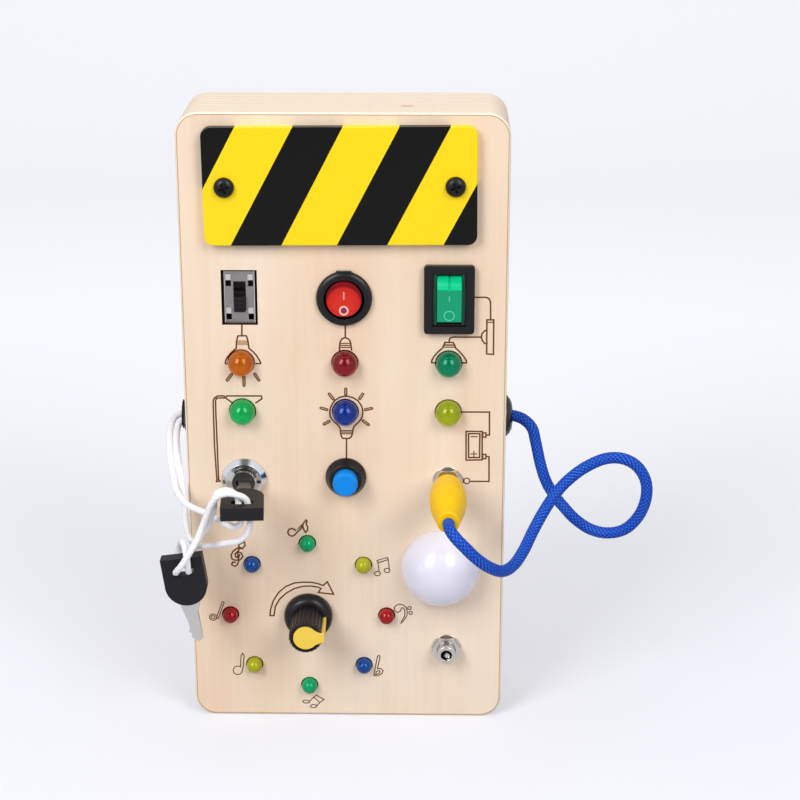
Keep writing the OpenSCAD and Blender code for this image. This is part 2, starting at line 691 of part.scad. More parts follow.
// Rubber grommet in the right-hand side, with a bore of radius r that flares out.
module grommet(r, flare) difference() {
  rotate([0, 90, 0]) rotate_extrude()
    polygon([[r, board_w / 2 - frame_w], [5, board_w / 2 - frame_w], [5, board_w / 2],
             [grommet_d / 2, board_w / 2], [grommet_d / 2 - 0.2, board_w / 2 + 0.8],
             [grommet_d / 2 - 1.2, board_w / 2 + 1.7], [grommet_d / 2 - 2.4, board_w / 2 + 2.3],
             [flare + 0.6, board_w / 2 + 2.6], [flare, board_w / 2 + 2.5],
             [r, board_w / 2 - 2]]);
}

module right_grommet() color([0.08, 0.08, 0.09]) translate([0, 0, outlet_z])
  grommet(cord_d / 2 + 0.1, cord_d / 2 + 0.2);

module left_grommet() color([0.08, 0.08, 0.09]) translate([0, 0, outlet_z])
  mirror([1, 0, 0]) grommet(2.25, 4.2);

function unit(v) = v / norm(v);
// Part of v that is square to the direction t.
function across(v, t) = unit(v - (v * t) * t);
// Direction of a route at its point i.
function heading(p, i) = unit(p[min(i + 1, len(p) - 1)] - p[max(i - 1, 0)]);
// One side direction for each point, carried along the route without a twist.
function carried(p, n, i = 0) = i == len(p) ? [] :
  let (m = across(n, heading(p, i))) concat([m], carried(p, m, i + 1));
// Corners of the ring round point p, which faces t, with side direction n.
function ring(p, t, n, r, sides) = [for (k = [0:sides - 1]) let (a = 360 * k / sides)
  p + r * (cos(a) * n + sin(a) * cross(t, n))];

// Round cord of diameter d swept along a route of points.
module swept_cord(route, d, sides) {
  first = heading(route, 0);
  n = carried(route, across([0.2, 0.3, 1], first));
  count = len(route);
  points = [for (i = [0:count - 1], q = ring(route[i], heading(route, i), n[i], d / 2, sides)) q];
  walls = [for (i = [0:count - 2], k = [0:sides - 1])
    let (a = i * sides + k, b = i * sides + (k + 1) % sides)
      each [[a, b, b + sides], [a, b + sides, a + sides]]];
  start = [for (k = [1:sides - 2]) [0, k + 1, k]];
  last = (count - 1) * sides;
  end = [for (k = [1:sides - 2]) [last, last + k, last + k + 1]];
  polyhedron(points = points, faces = [for (f = concat(walls, start, end)) [f[0], f[2], f[1]]]);
}

module braided_cord() color("RoyalBlue") swept_cord(braid_route, cord_d, 10);
module key_cord() color("White") swept_cord(string_route, string_d, 8);

// Compression spring of the push-button, one unbroken wire.
spring_turns = 4;
spring_rings = 8;
spring_route = [for (i = [0:spring_turns * spring_rings]) let (a = 360 * i / spring_rings)
  [3.3 * cos(a), 3.3 * sin(a), -13.6 + 7 * i / (spring_turns * spring_rings)]];
module button_spring() color("Silver") on_front(0, button_z)
  swept_cord(spring_route, 0.6, 6);

front_panel();
front_frame();
rear_frame();
back_panel();
back_screws();
striped_plate();
plate_screws();
battery_tray();
battery_cells();
battery_contacts();
slide_switch_can();
slide_switch_base();
slide_switch_knob();
slide_switch_pins();
round_switch_body();
round_rocker();
rect_switch_body();
rect_rocker();
rocker_terminals();
lamp_orange();
lamp_dark_red();
lamp_dark_green();
lamp_green();
lamp_blue();
lamp_lime();
button_body();
button_cap();
button_spring();
button_nut();
lock_body();
lock_core();
lock_nut();
lock_terminals();
lock_key_head();
lock_key_blade();
spare_key_head();
spare_key_blade();
upper_jack();
lower_jack();
jack_nuts();
plug_body();
plug_pin();
light_dome();
dome_led();
ring_leds_green();
ring_leds_yellow();
ring_leds_red();
ring_leds_blue();
dial_body();
dial_nut();
dial_shaft();
dial_knob();
dial_pointer();
circuit_board();
board_chips();
right_grommet();
left_grommet();
braided_cord();
key_cord();
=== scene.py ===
"""Looks of the wooden busy board: a plywood box with switches, lamps, a key lock, a dial,
two jacks, a corded plug and a light dome. Lengths are in millimetres until a mesh is made."""

import math
from contextlib import contextmanager

import bmesh
import bpy
import numpy as np
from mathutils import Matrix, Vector


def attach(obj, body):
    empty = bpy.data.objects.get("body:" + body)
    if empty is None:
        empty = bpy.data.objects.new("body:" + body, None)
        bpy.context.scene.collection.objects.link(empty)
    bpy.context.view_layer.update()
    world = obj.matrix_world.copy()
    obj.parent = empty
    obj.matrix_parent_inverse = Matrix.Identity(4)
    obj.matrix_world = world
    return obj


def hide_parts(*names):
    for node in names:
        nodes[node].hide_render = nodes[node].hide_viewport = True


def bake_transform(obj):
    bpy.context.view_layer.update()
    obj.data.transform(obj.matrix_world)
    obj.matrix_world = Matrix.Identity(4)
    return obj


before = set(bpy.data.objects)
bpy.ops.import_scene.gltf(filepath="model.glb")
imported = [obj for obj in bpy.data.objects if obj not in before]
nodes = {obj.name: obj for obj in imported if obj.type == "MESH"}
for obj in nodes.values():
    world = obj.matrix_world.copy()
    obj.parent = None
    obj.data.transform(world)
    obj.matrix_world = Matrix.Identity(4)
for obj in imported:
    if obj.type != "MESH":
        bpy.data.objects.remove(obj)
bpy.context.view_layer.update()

# ---- the photographer's place ------------------------------------------------------
# A short telephoto lens a little above the board, looking down at it by about 20 degrees,
# worked out from the board's corners, its holes and its lamps.
MM = 0.001
FRONT_Y = -16           # the front face of the box
HALF_W, HALF_H, CORNER = 50, 100, 7     # half its width and height, and its corner radius
COLUMN_X = 32           # the outer columns of switches, lamps and jacks


def new_object(name, data):
    """An object of that data, put in the scene."""
    made = bpy.data.objects.new(name, data)
    bpy.context.scene.collection.objects.link(made)
    return made


camera = new_object("camera", bpy.data.cameras.new("camera"))
camera.data.sensor_width = 36
camera.data.lens = 89.63
camera.location = (0.02638, -0.59752, 0.31788)
camera.rotation_euler = (math.radians(70.343), 0, math.radians(0.924))
bpy.context.scene.camera = camera
bpy.context.scene.view_settings.view_transform = "Standard"

# ---- braided cord ------------------------------------------------------------------
# Round braid of blue polyester, 3.6 mm thick, from the right-hand outlet to the plug. The
# photograph shows all of it but the end in the outlet, in one free loop beside the board.
braid_route = [
    (44, 0, 99.4), (48.5, 0, 99.4), (52.6, 0, 99.4), (56.2, -1, 98.4), (58.9, -2, 95.8),
    (60.1, -3, 91.5), (61.7, -5, 84.6), (63.6, -6, 79.1), (66.3, -7, 74.7), (69.3, -8, 71.2),
    (72.9, -10, 67.9), (77.7, -12, 65.3), (83, -14, 64.9), (88.2, -16, 67.1),
    (92.2, -17, 71.9), (94.2, -18, 78.2), (94, -18, 84.1), (91.2, -18, 89.1),
    (86.6, -18, 91.8), (81.2, -17, 91.4), (75.4, -16.5, 88.5), (70.2, -17.5, 84.8),
    (66, -20, 81.1), (62, -25, 77), (58.3, -31, 72.6), (55.2, -38, 69.2), (51.9, -45, 67.5),
    (48.2, -51, 68.2), (44, -55.5, 71.6), (40, -57.6, 75.5), (36.6, -58, 79.2),
    (34, -56.8, 81.6), (32.5, -54.2, 82.9), (32, -49.8, 83.2)]
BRAID_D = 3.6
BRAID_STRANDS = 8       # bundles that wind each way round the cord
BRAID_RISE = 0.16       # how far a bundle stands up at its crown
CROWN_ROUND = 0.7       # below 1 a bundle is flatter on top than a sine
UNDER = 0.55            # height of a bundle that passes under, against one that passes over


def linear(code):
    """The linear red, green, blue and alpha of an sRGB hex colour."""
    parts = [int(code[i:i + 2], 16) / 255 for i in (1, 3, 5)]
    return [c / 12.92 if c <= 0.04045 else ((c + 0.055) / 1.055) ** 2.4 for c in parts] + [1.0]


def shader_of(finish):
    return finish.node_tree.nodes["Principled BSDF"]


def add_node(finish, kind, links=None, to=None, out=0, **settings):
    """Adds a node: settings are its own properties or sockets, links maps its sockets to
    other nodes' outputs, and to = (node, socket) links its output number out onwards."""
    tree = finish.node_tree
    made = tree.nodes.new(kind)
    for name, value in settings.items():
        if hasattr(made, name):
            setattr(made, name, value)
        else:
            made.inputs[name.replace("_", " ")].default_value = value
    for socket, source in (links or {}).items():
        tree.links.new(source, made.inputs[socket])
    if to:
        tree.links.new(made.outputs[out], to[0].inputs[to[1]])
    return made


def noise(finish, scale, detail, at=None, **settings):
    """A noise texture, over the piece's own box unless at gives other coordinates."""
    return add_node(finish, "ShaderNodeTexNoise", at and {"Vector": at}, Scale=scale,
                    Detail=detail, **settings)


def remap(finish, value, to=None, **ends):
    """Maps a value from From_Min and From_Max on to To_Min and To_Max, or 0 and 1."""
    return add_node(finish, "ShaderNodeMapRange", {"Value": value}, to, **ends)


def bump(finish, height, strength, rise):
    """Raises the surface where a node's first output is high, by rise millimetres."""
    add_node(finish, "ShaderNodeBump", {"Height": height.outputs[0]},
             (shader_of(finish), "Normal"), Strength=strength, Distance=rise * MM)


def new_finish(name, colour, roughness, grain=None, gloss=None, **sockets):
    """A material with its even values on the shader's own sockets, and colours in hex.
    grain = (scale, detail, strength, rise) gives it a bumpy surface, and gloss = (scale,
    detail, low, high) an uneven roughness."""
    finish = bpy.data.materials.new(name)
    finish.use_nodes = True
    for socket, value in {"Base_Color": colour, "Roughness": roughness, **sockets}.items():
        shader_of(finish).inputs[socket.replace("_", " ")].default_value = (
            linear(value) if isinstance(value, str) else value)
    if grain:
        bump(finish, noise(finish, *grain[:2]), *grain[2:])
    if gloss:
        remap(finish, noise(finish, *gloss[:2]).outputs[0], (shader_of(finish), "Roughness"),
              To_Min=gloss[2], To_Max=gloss[3])
    return finish


def ramp(finish, factor, *stops, to="Base Color"):
    """A ramp of (position, colour) stops, linked to that socket of the shader."""
    made = add_node(finish, "ShaderNodeValToRGB", {"Fac": factor},
                    to and (shader_of(finish), to))
    for number, (at, colour) in enumerate(stops):
        elements = made.color_ramp.elements
        stop = elements[number] if number < 2 else elements.new(at)
        stop.position = at
        stop.color = linear(colour) if isinstance(colour, str) else colour
    return made.outputs[0]


def scaled(finish, place, scale, location=(0, 0, 0)):
    """Coordinates, scaled and then moved."""
    return add_node(finish, "ShaderNodeMapping", {"Vector": place}, Location=location,
                    Scale=scale).outputs[0]


def spun(finish, fibres, strength, *stops):
    """Yarn: its colour follows how proud it lies, as painted shade down between the bundles
    and painted highlight on their crowns. fibres = how many there are round the cord, and in
    each millimetre along it."""
    proud = add_node(finish, "ShaderNodeAttribute", attribute_name="crown")
    ramp(finish, proud.outputs["Fac"], *stops)
    wrap = add_node(finish, "ShaderNodeUVMap", uv_map="wrap")
    bump(finish, noise(finish, 1, 2, scaled(finish, wrap.outputs[0], (*fibres, 1))), strength,
         0.08)


def unit(rows):
    """Each row of numbers scaled to a length of 1."""
    return rows / np.maximum(np.linalg.norm(rows, axis=1), 1e-9)[:, None]


def smooth_route(points, step):
    """Points every step millimetres on a smooth curve through the route."""
    p = np.array([points[0]] + list(points) + [points[-1]], float)
    fine = []
    for i in range(1, len(p) - 2):
        a, b, c, d = p[i - 1], p[i], p[i + 1], p[i + 2]
        for t in np.linspace(0, 1, 40, endpoint=False):
            fine.append(0.5 * (2 * b + (c - a) * t + (2 * a - 5 * b + 4 * c - d) * t * t
                               + (3 * b - a - 3 * c + d) * t ** 3))
    fine = np.array(fine + [p[-1]])
    run = np.concatenate([[0], np.cumsum(np.linalg.norm(np.diff(fine, axis=0), axis=1))])
    count = max(2, int(run[-1] / step))
    at = np.linspace(0, run[-1], count + 1)
    return np.stack([np.interp(at, run, fine[:, k]) for k in range(3)], 1), at


def band(low, high, n):
    """Faces between two of a mesh's rings, which have n points each."""
    return [(low * n + i, low * n + (i + 1) % n, high * n + (i + 1) % n, high * n + i)
            for i in range(n)]


def tube_faces(rings, n):
    """Faces of a tube of that many rings, closed at both ends."""
    return [face for k in range(rings - 1) for face in band(k, k + 1, n)] + [
        tuple(reversed(range(n))), tuple(range((rings - 1) * n, rings * n))]


def cord_mesh(name, centre, along, sides, radius_at):
    """Tube round a centreline. radius_at gives the radius at an angle and a length. Its UV
    map holds the turn and the length in millimetres, and 'crown' how proud each point is."""
    heading = unit(np.gradient(centre, axis=0))
    side = np.zeros_like(centre)
    v = np.array([0.2, 0.3, 1.0])
    for i, t in enumerate(heading):
        v = v - (v @ t) * t
        v /= np.linalg.norm(v)
        side[i] = v
    other = np.cross(heading, side)
    angle = np.arange(sides) * 2 * np.pi / sides
    turn, length = np.meshgrid(angle, along)
    radius = radius_at(turn, length)
    rings = centre[:, None] + radius[..., None] * (np.cos(turn)[..., None] * side[:, None]
                                                   + np.sin(turn)[..., None] * other[:, None])
    mesh = bpy.data.meshes.new(name)
    mesh.from_pydata([tuple(p * MM) for p in rings.reshape(-1, 3)], [],
                     tube_faces(len(centre), sides))
    uv = mesh.uv_layers.new(name="wrap")
    for polygon in mesh.polygons:
        for loop in polygon.loop_indices:
            index = mesh.loops[loop].vertex_index
            ring, k = divmod(index, sides)
            u = k / sides
            if k == 0 and any(mesh.loops[j].vertex_index % sides == sides - 1
                              for j in polygon.loop_indices):
                u = 1.0
            uv.data[loop].uv = (u, along[ring])
    crown = mesh.attributes.new("crown", "FLOAT", "POINT")
    low, high = radius.min(), radius.max()
    crown.data.foreach_set("value", ((radius - low) / max(high - low, 1e-9)).ravel())
    mesh.shade_smooth()
    return new_object(name, mesh)


def braid_radius(turn, length):
    """Two sets of bundles wind opposite ways and pass over and under each other."""
    around = BRAID_STRANDS * turn / (2 * np.pi)
    forward = length / (math.pi * BRAID_D / BRAID_STRANDS)
    first, second = around + forward, around - forward
    over = (np.floor(first) + np.floor(second)) % 2
    crown_1 = np.sin(np.pi * (first % 1)) ** CROWN_ROUND
    crown_2 = np.sin(np.pi * (second % 1)) ** CROWN_ROUND
    rise = np.where(over < 1, np.maximum(crown_1, UNDER * crown_2),
                    np.maximum(crown_2, UNDER * crown_1))
    return BRAID_D / 2 + BRAID_RISE * (rise - 0.75)


braid_line, braid_run = smooth_route(braid_route, step=0.36)
braid = cord_mesh("braided_cord_blue", braid_line, braid_run, 40, braid_radius)

# Polyester yarn: saturated, with a silky sheen. Its colour is painted shade down between the
# bundles and painted highlight, pale flecks, where the fibres of a bundle's crown catch the
# light. The filaments are 0.15 mm apart, drawn at 0.3 mm.
polyester = new_finish("braided_polyester_blue", "#1440B4", 0.5, Sheen_Weight=0.03,
                       Sheen_Roughness=0.4, Sheen_Tint="#9DB4F5", Specular_IOR_Level=0.14)
spun(polyester, (38, 3.3), 0.35, (0.25, "#04185C"), (0.8, "#1046B6"), (0.97, "#3C74DA"))
braid.data.materials.append(polyester)
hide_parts("braided_cord")
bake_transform(braid)


def on_front(x, z, turn=0.0):
    """Puts local points (right, up, outwards) on the front of the box, round x and z."""
    c, s = math.cos(math.radians(turn)), math.sin(math.radians(turn))
    return lambda p: (x + p[0] * c - p[1] * s, FRONT_Y - p[2], z + p[0] * s + p[1] * c)


@contextmanager
def editing(mesh):
    """The mesh opened for editing, and written back after it."""
    work = bmesh.new()
    work.from_mesh(mesh)
    yield work
    work.to_mesh(mesh)
    work.free()


def crisp(mesh, sharp=35):
    """Smooth shading, except at edges that turn by more than sharp degrees."""
    mesh.shade_smooth()
    mesh.set_sharp_from_angle(angle=math.radians(sharp))


def solid(name, points, faces, place, sharp=35):
    """An object from points in millimetres, with its curves smooth and its corners crisp."""
    mesh = bpy.data.meshes.new(name)
    mesh.from_pydata([tuple(c * MM for c in place(p)) for p in points], [], faces)
    with editing(mesh) as work:
        bmesh.ops.remove_doubles(work, verts=work.verts, dist=1e-7)
        bmesh.ops.recalc_face_normals(work, faces=work.faces)
    crisp(mesh, sharp)
    return new_object(name, mesh)


def rounded(profile, radius, steps=4):
    """The profile with each of its inner corners turned into a small arc."""
    soft = [np.array(profile[0], float)]
    for a, b, c in zip(profile, profile[1:], profile[2:]):
        a, b, c = np.array(a, float), np.array(b, float), np.array(c, float)
        to_a, to_c = np.linalg.norm(a - b), np.linalg.norm(c - b)
        start = b + (a - b) / to_a * min(radius, 0.45 * to_a)
        end = b + (c - b) / to_c * min(radius, 0.45 * to_c)
        for t in np.linspace(0, 1, steps + 1):
            soft.append((1 - t) ** 2 * start + 2 * t * (1 - t) * b + t * t * end)
    return soft + [np.array(profile[-1], float)]


def turned(name, profile, place, around, sharp=40):
    """A turned piece: (radius, height) points revolved about the outward axis."""
    points, rings = [], []
    for r, d in profile:
        if r < 1e-6:
            rings.append([len(points)] * around)
            points.append((0, 0, d))
        else:
            rings.append(list(range(len(points), len(points) + around)))
            points += [(r * math.cos(a), r * math.sin(a), d)
                       for a in np.arange(around) * 2 * math.pi / around]
    faces = []
    for low, high in zip(rings, rings[1:]):
        for k in range(around):
            corners = [low[k], low[(k + 1) % around], high[(k + 1) % around], high[k]]
            face = list(dict.fromkeys(corners))
            if len(face) > 2:
                faces.append(face)
    return solid(name, points, faces, place, sharp)


def belongs(piece, body, finishes, stands_for=()):
    """Gives a piece its finishes, the body it rides on and the CAD nodes it stands for."""
    for finish in finishes:
        piece.data.materials.append(finish)
    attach(piece, body)
    if stands_for:
        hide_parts(*stands_for)
    return piece


def kept(node, finish):
    """A CAD node whose shape is already right gets its finish."""
    slots = nodes[node].data.materials
    for i in range(len(slots)):
        slots[i] = finish
    if not len(slots):
        slots.append(finish)


# The plug is a 3.5 mm jack plug with a soft vinyl grip moulded round the cord: fuller in
# the middle, with two shallow rings, and tapering to the cord.
PLUG_START = 5.9        # where the grip starts, in front of the panel
plug_profile = [(0, 0), (4.5, 0), (4.9, 0.8), (5.3, 4.5), (5.7, 9), (5.7, 12.5), (5.45, 12.75),
                (5.45, 13.35), (5.6, 13.6), (5.2, 17.5), (5.03, 17.75), (5.03, 18.25),
                (5.1, 18.5), (4.2, 22.5), (3.6, 25), (3.5, 27.3), (3.1, 27.7), (0, 27.7)]
plug = turned("plug_grip", [(r, PLUG_START + d) for r, d in rounded(plug_profile, 0.5)],
              on_front(COLUMN_X, 83.2), around=96)
vinyl = new_finish("moulded_vinyl_yellow", "#F3C202", 0.42, (5000, 2, 0.12, 0.05),
                   Specular_IOR_Level=0.2)
belongs(plug, "plug", [vinyl], ["plug_body"])
bright_nickel = new_finish("nickel_plate_bright", "#D8D4CD", 0.16, Metallic=1.0)
kept("plug_pin", bright_nickel)

# ---- white cord and the keys -------------------------------------------------------
# Thin white polyester cord of three twisted strands, doubled through the slot of the key
# in the lock and once round the bar of the spare key. Both ends are tied inside the box.
STRING_D = 2.0
STRING_LAY = 6.0        # length of one turn of the three strands
string_route = [
    (-44, -1.1, 99.4), (-48.5, -1.1, 99.3), (-51.6, -1.5, 98.7), (-53.8, -3.4, 96.8),
    (-54.1, -7.5, 93.2), (-53.2, -12, 88.2), (-51.9, -16.4, 82.9), (-50.7, -20, 77),
    (-50, -23, 71), (-48.8, -25, 66.9), (-46, -26.8, 65.3), (-42, -29.79, 66.4),
    (-37, -33.61, 69), (-32.5, -37.23, 71.4), (-29.6, -39.12, 74.4), (-28.4, -40, 78),
    (-28.3, -40, 81.5), (-28.5, -40, 84), (-29.4, -40.4, 86.7), (-31.9, -41.45, 88.5),
    (-35, -41.3, 88.8), (-37.9, -40.5, 87.4), (-40, -39.6, 84.5), (-41.4, -38.7, 81),
    (-43.1, -37.83, 76.5), (-45, -38.34, 72), (-47.5, -38.9, 67.6), (-49.9, -38.4, 63.6),
    (-51.6, -37, 61.1), (-52.2, -35.1, 59.7), (-52.2, -32.5, 59.2), (-52.2, -29.9, 59.7),
    (-52.2, -28, 61.5), (-52, -27.4, 64.2), (-51.3, -28.7, 66.9), (-50.3, -31.3, 68.4),
    (-49.3, -34, 67.9), (-48.6, -36, 65.9), (-48.3, -36.8, 63.5), (-48.2, -36.6, 61.7),
    (-48.2, -35.2, 60.15), (-48.2, -32.5, 59.8), (-48.2, -30.2, 60), (-48, -28.6, 61.4),
    (-47.4, -28.2, 64), (-46.5, -29.2, 66.8), (-45.5, -31.23, 69.3), (-44.2, -33.57, 71.7),
    (-42.1, -35.4, 75), (-40.5, -36.4, 79), (-39.5, -37.1, 82.8), (-39.3, -37.4, 85.4),
    (-38.1, -37.7, 87.5), (-35.7, -38.1, 88.5), (-33.3, -38.6, 88), (-31.9, -39.35, 86.8),
    (-31.6, -39.9, 84.6), (-31.2, -39.9, 82.2), (-31, -39.8, 80.1), (-31.3, -39.4, 78.2),
    (-32.5, -38.4, 76.8), (-34.2, -37, 76.2), (-38.2, -33.5, 76.6), (-43, -29.33, 77.4),
    (-47.3, -26.4, 77.9), (-50.6, -23.2, 78.8), (-53.1, -19.8, 81.2), (-54.7, -15.5, 85.2),
    (-55.9, -10.5, 89.8), (-56.4, -5.6, 94.5), (-55.5, -1, 98.1), (-52.2, 0.9, 99.4),
    (-48.5, 1.1, 99.4), (-44, 1.1, 99.4)]


def string_radius(turn, length):
    """Three strands side by side, seen from outside as a three-lobed section that turns."""
    lobe = np.abs(np.cos(1.5 * (turn - 2 * np.pi * length / STRING_LAY)))
    return STRING_D / 2 * (0.9 + 0.12 * np.sqrt(lobe))


string_line, string_run = smooth_route(string_route, step=0.3)
string = cord_mesh("key_cord_white", string_line, string_run, 30, string_radius)

# Bleached polyester yarn: soft and matt with a slight sheen, with painted shade that makes it
# darker only between strands.
# Its fibres are finer than the render shows, so they are drawn 0.3 mm apart.
white_yarn = new_finish("twisted_polyester_white", "#F2F1EE", 0.6, Sheen_Weight=0.3,
                        Sheen_Roughness=0.5, Subsurface_Weight=0.1, Subsurface_Scale=0.0006)
spun(white_yarn, (20, 2), 0.3, (0, "#DCDCE2"), (0.45, "#F8F6F8"))
string.data.materials.append(white_yarn)
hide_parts("key_cord")
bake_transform(string)


def dressed(node, name, sharp=35, ease=0.0, steps=2):
    """A finer stand-in for a CAD node: welded and smooth, with its edges eased."""
    mesh = nodes[node].data.copy()
    mesh.name = name
    mesh.materials.clear()
    with editing(mesh) as work:
        bmesh.ops.remove_doubles(work, verts=work.verts, dist=2e-6)
        bmesh.ops.dissolve_limit(work, angle_limit=math.radians(0.5), verts=work.verts,
                                 edges=work.edges)
    old_normals = mesh.attributes.get("custom_normal")
    if old_normals:
        mesh.attributes.remove(old_normals)
    crisp(mesh, sharp)
    made = new_object(name, mesh)
    if ease:
        edge = made.modifiers.new("eased_edges", "BEVEL")
        edge.width, edge.segments, edge.limit_method = ease * MM, steps, "ANGLE"
        edge.angle_limit = math.radians(sharp)
        edge.harden_normals = True
    return made


def dress(node, name, body, finish, slot, *shape):
    """A finer stand-in with one finish, on its body. shape is what dressed takes."""
    return belongs(dressed(node, name, *shape), body, [finish], [node])


def place_on(finish, kind="Object"):
    """The texture coordinates of that kind."""
    return add_node(finish, "ShaderNodeTexCoord").outputs[kind]


# The keys have heads moulded in black ABS, matt from the mould's texture, and stamped
# blades plated bright. One is in the lock, the other hangs from the cord.
key_abs = new_finish("moulded_abs_black_matt", "#121016", 0.42, (4500, 2, 0.25, 0.04),
                     Specular_IOR_Level=0.3)
# Rolled steel, plated after stamping, with fine lines along the blade.
blade_plate = new_finish("nickel_plate_on_rolled_steel", "#DAD7D2", 0.34, Metallic=1.0)
rolled = noise(blade_plate, 1, 2, scaled(blade_plate, place_on(blade_plate), (3000, 300, 40)))
bump(blade_plate, rolled, 0.4, 0.05)
for which in ("lock_key", "spare_key"):
    dress(which + "_head", which + "_head_moulding", which, key_abs, "black_plastic", 30,
          0.7, 4)
    dress(which + "_blade", which + "_blade_steel", which, blade_plate, "lock_chrome", 30,
          0.12, 1)

# ---- wooden box --------------------------------------------------------------------
# Two frames and two 5 mm panels of birch plywood glued into a slim box with rounded
# corners, sanded and left bare. The holes and the drawings are burnt by a laser.
MIX_A, MIX_B, MIX_RESULT = 6, 7, 2      # sockets of a Mix node that mixes colours
SANDED = 0.8                            # rounding of the box's outer edges
birch = new_finish("birch_ply_sanded", "#F0D9C0", 0.62, Specular_IOR_Level=0.35)
# Grain runs up the board, in streaks 2.4 mm apart and 83 mm long, over broader clouds.
streaks = noise(birch, 1, 4, scaled(birch, place_on(birch), (420, 420, 12)), Roughness=0.6,
                Distortion=0.6)
clouds = noise(birch, 1, 3, scaled(birch, place_on(birch), (30, 30, 9)))
fine = ramp(birch, streaks.outputs[0], (0.3, "#E6CAAB"), (0.7, "#F1DCC4"), to=None)
broad = ramp(birch, clouds.outputs[0], (0.35, "#EACDB1"), (0.65, "#F2E1CD"), to=None)
add_node(birch, "ShaderNodeMix", {MIX_A: fine, MIX_B: broad}, (shader_of(birch), "Base Color"),
         MIX_RESULT, data_type="RGBA", Factor=0.65)
bump(birch, streaks, 0.15, 0.08)

# The edges show the plies, 1.4 mm each, long grain and end grain by turns.
ply_edge = new_finish("birch_ply_edge", "#EBCFAE", 0.68, Specular_IOR_Level=0.3)
layers = add_node(ply_edge, "ShaderNodeTexWave", {"Vector": place_on(ply_edge)},
                  bands_direction="Y", Scale=112, Distortion=0.6, Detail=2, Detail_Scale=2)
ply = ramp(ply_edge, layers.outputs[0], (0.35, "#F1DABC"), (0.6, "#FAECDA"), to=None)
pores = noise(ply_edge, 900, 3, place_on(ply_edge))
flecked = add_node(ply_edge, "ShaderNodeMix", {MIX_A: ply, MIX_B: pores.outputs[1]},
                   data_type="RGBA", blend_type="MULTIPLY", Factor=0.12)


def round_patch(finish, centre, scale):
    """1 at the centre and 0 from 1 / scale away, both in metres."""
    near = scaled(finish, place_on(finish), scale, [-c * s for c, s in zip(centre, scale)])
    return add_node(finish, "ShaderNodeTexGradient", {"Vector": near},
                    gradient_type="SPHERICAL").outputs["Fac"]


# A small ochre knot lies in the top edge, 19 mm right of the middle.
knot = round_patch(ply_edge, (0.0191, -0.0055, 0.2), (380, 1100, 300))
knot_edge = remap(ply_edge, knot, From_Min=0, From_Max=0.35)
knotted = add_node(ply_edge, "ShaderNodeMix", {"Factor": knot_edge.outputs[0],
                                               MIX_A: flecked.outputs[MIX_RESULT]},
                   (shader_of(ply_edge), "Base Color"), MIX_RESULT, data_type="RGBA")
knotted.inputs[MIX_B].default_value = linear("#C08A4E")
bump(ply_edge, pores, 0.2, 0.08)


def laser_finish(name, colour, dark, light):
    """Burnt wood, blotched with soot from dark to light."""
    finish = new_finish(name, colour, 0.85, Specular_IOR_Level=0.2)
    ramp(finish, noise(finish, 1400, 3).outputs[0], (0.3, dark), (0.7, light))
    return finish


# Where the laser went the wood is charred: dark brown in the lines, nearly black on the
# walls of the holes that it cut right through, and lighter where it only hatched.
charred = laser_finish("laser_burnt_birch", "#6B4324", "#5A3214", "#8A5528")
cut_wall = laser_finish("laser_cut_wall", "#3A2719", "#24170F", "#4A3220")
hatched = laser_finish("laser_hatched_birch", "#A58159", "#A98155", "#D6B187")

FINE, LINE = 0.36, 0.5          # widths of the laser's lines
BURN, HATCH = 0.25, 0.12        # how deep its lines and its hatching are
PROUD = 0.3                     # how far the cutters stand out of the panel
drawn = []                      # (points, width, closed) of every burnt line


def ribbon(points, width, closed):
    """Left and right edges of a line of that width drawn through the points."""
    p = np.array(points, float)
    if closed:
        before, after = np.roll(p, 1, 0), np.roll(p, -1, 0)
    else:
        before, after = np.vstack([p[:1], p[:-1]]), np.vstack([p[1:], p[-1:]])
    back, ahead = unit(p - before), unit(after - p)
    if not closed:
        back[0], ahead[-1] = ahead[0], back[-1]
    along = back + ahead
    size = np.maximum(np.linalg.norm(along, axis=1), 0.6)
    across = np.stack([-along[:, 1], along[:, 0]], 1) / size[:, None]
    across *= (2 / size)[:, None] * width / 2
    if not closed:
        p = p.copy()
        p[0] -= ahead[0] * width / 2
        p[-1] += back[-1] * width / 2
    return p + across, p - across


def burnt_line(points, width, closed):
    """A prism along the line, to be cut out of the front of the panel. With no width it
    fills the outline, and is shallower."""
    if not width:
        n = len(points)
        return ([(*q, -HATCH) for q in points] + [(*q, PROUD) for q in points],
                [tuple(range(n)), tuple(range(2 * n - 1, n - 1, -1))]
                + [(i, n + i, n + (i + 1) % n, (i + 1) % n) for i in range(n)])
    left, right = ribbon(points, width, closed)
    n = len(left)
    corners = [(*q, y) for y in (-BURN, PROUD) for edge in (left, right) for q in edge]
    faces = []
    for i in range(n if closed else n - 1):
        j = (i + 1) % n
        faces += [(i, j, n + j, n + i), (2 * n + i, 3 * n + i, 3 * n + j, 2 * n + j),
                  (i, 2 * n + i, 2 * n + j, j), (n + i, n + j, 3 * n + j, 3 * n + i)]
    if not closed:
        faces += [(0, n, 3 * n, 2 * n), (n - 1, 3 * n - 1, 4 * n - 1, 2 * n - 1)]
    return corners, faces


def ring_points(x, z, rx, rz=None, count=18):
    return [(x + rx * math.cos(a), z + (rz or rx) * math.sin(a))
            for a in np.arange(count) * 2 * math.pi / count]


def capsule_points(a, b, half=0.34):
    """Outline of a short ray with round ends."""
    a, b = np.array(a, float), np.array(b, float)
    t = (b - a) / np.linalg.norm(b - a)
    n = np.array([-t[1], t[0]])
    turn = np.radians(np.arange(90, 271, 45))
    ends = [a + half * (math.cos(w) * t + math.sin(w) * n) for w in turn]
    return ends + [b - half * (math.cos(w) * t + math.sin(w) * n) for w in turn]


def draw(*lines, width=LINE, closed=False):
    drawn.extend((line, width, closed) for line in lines)


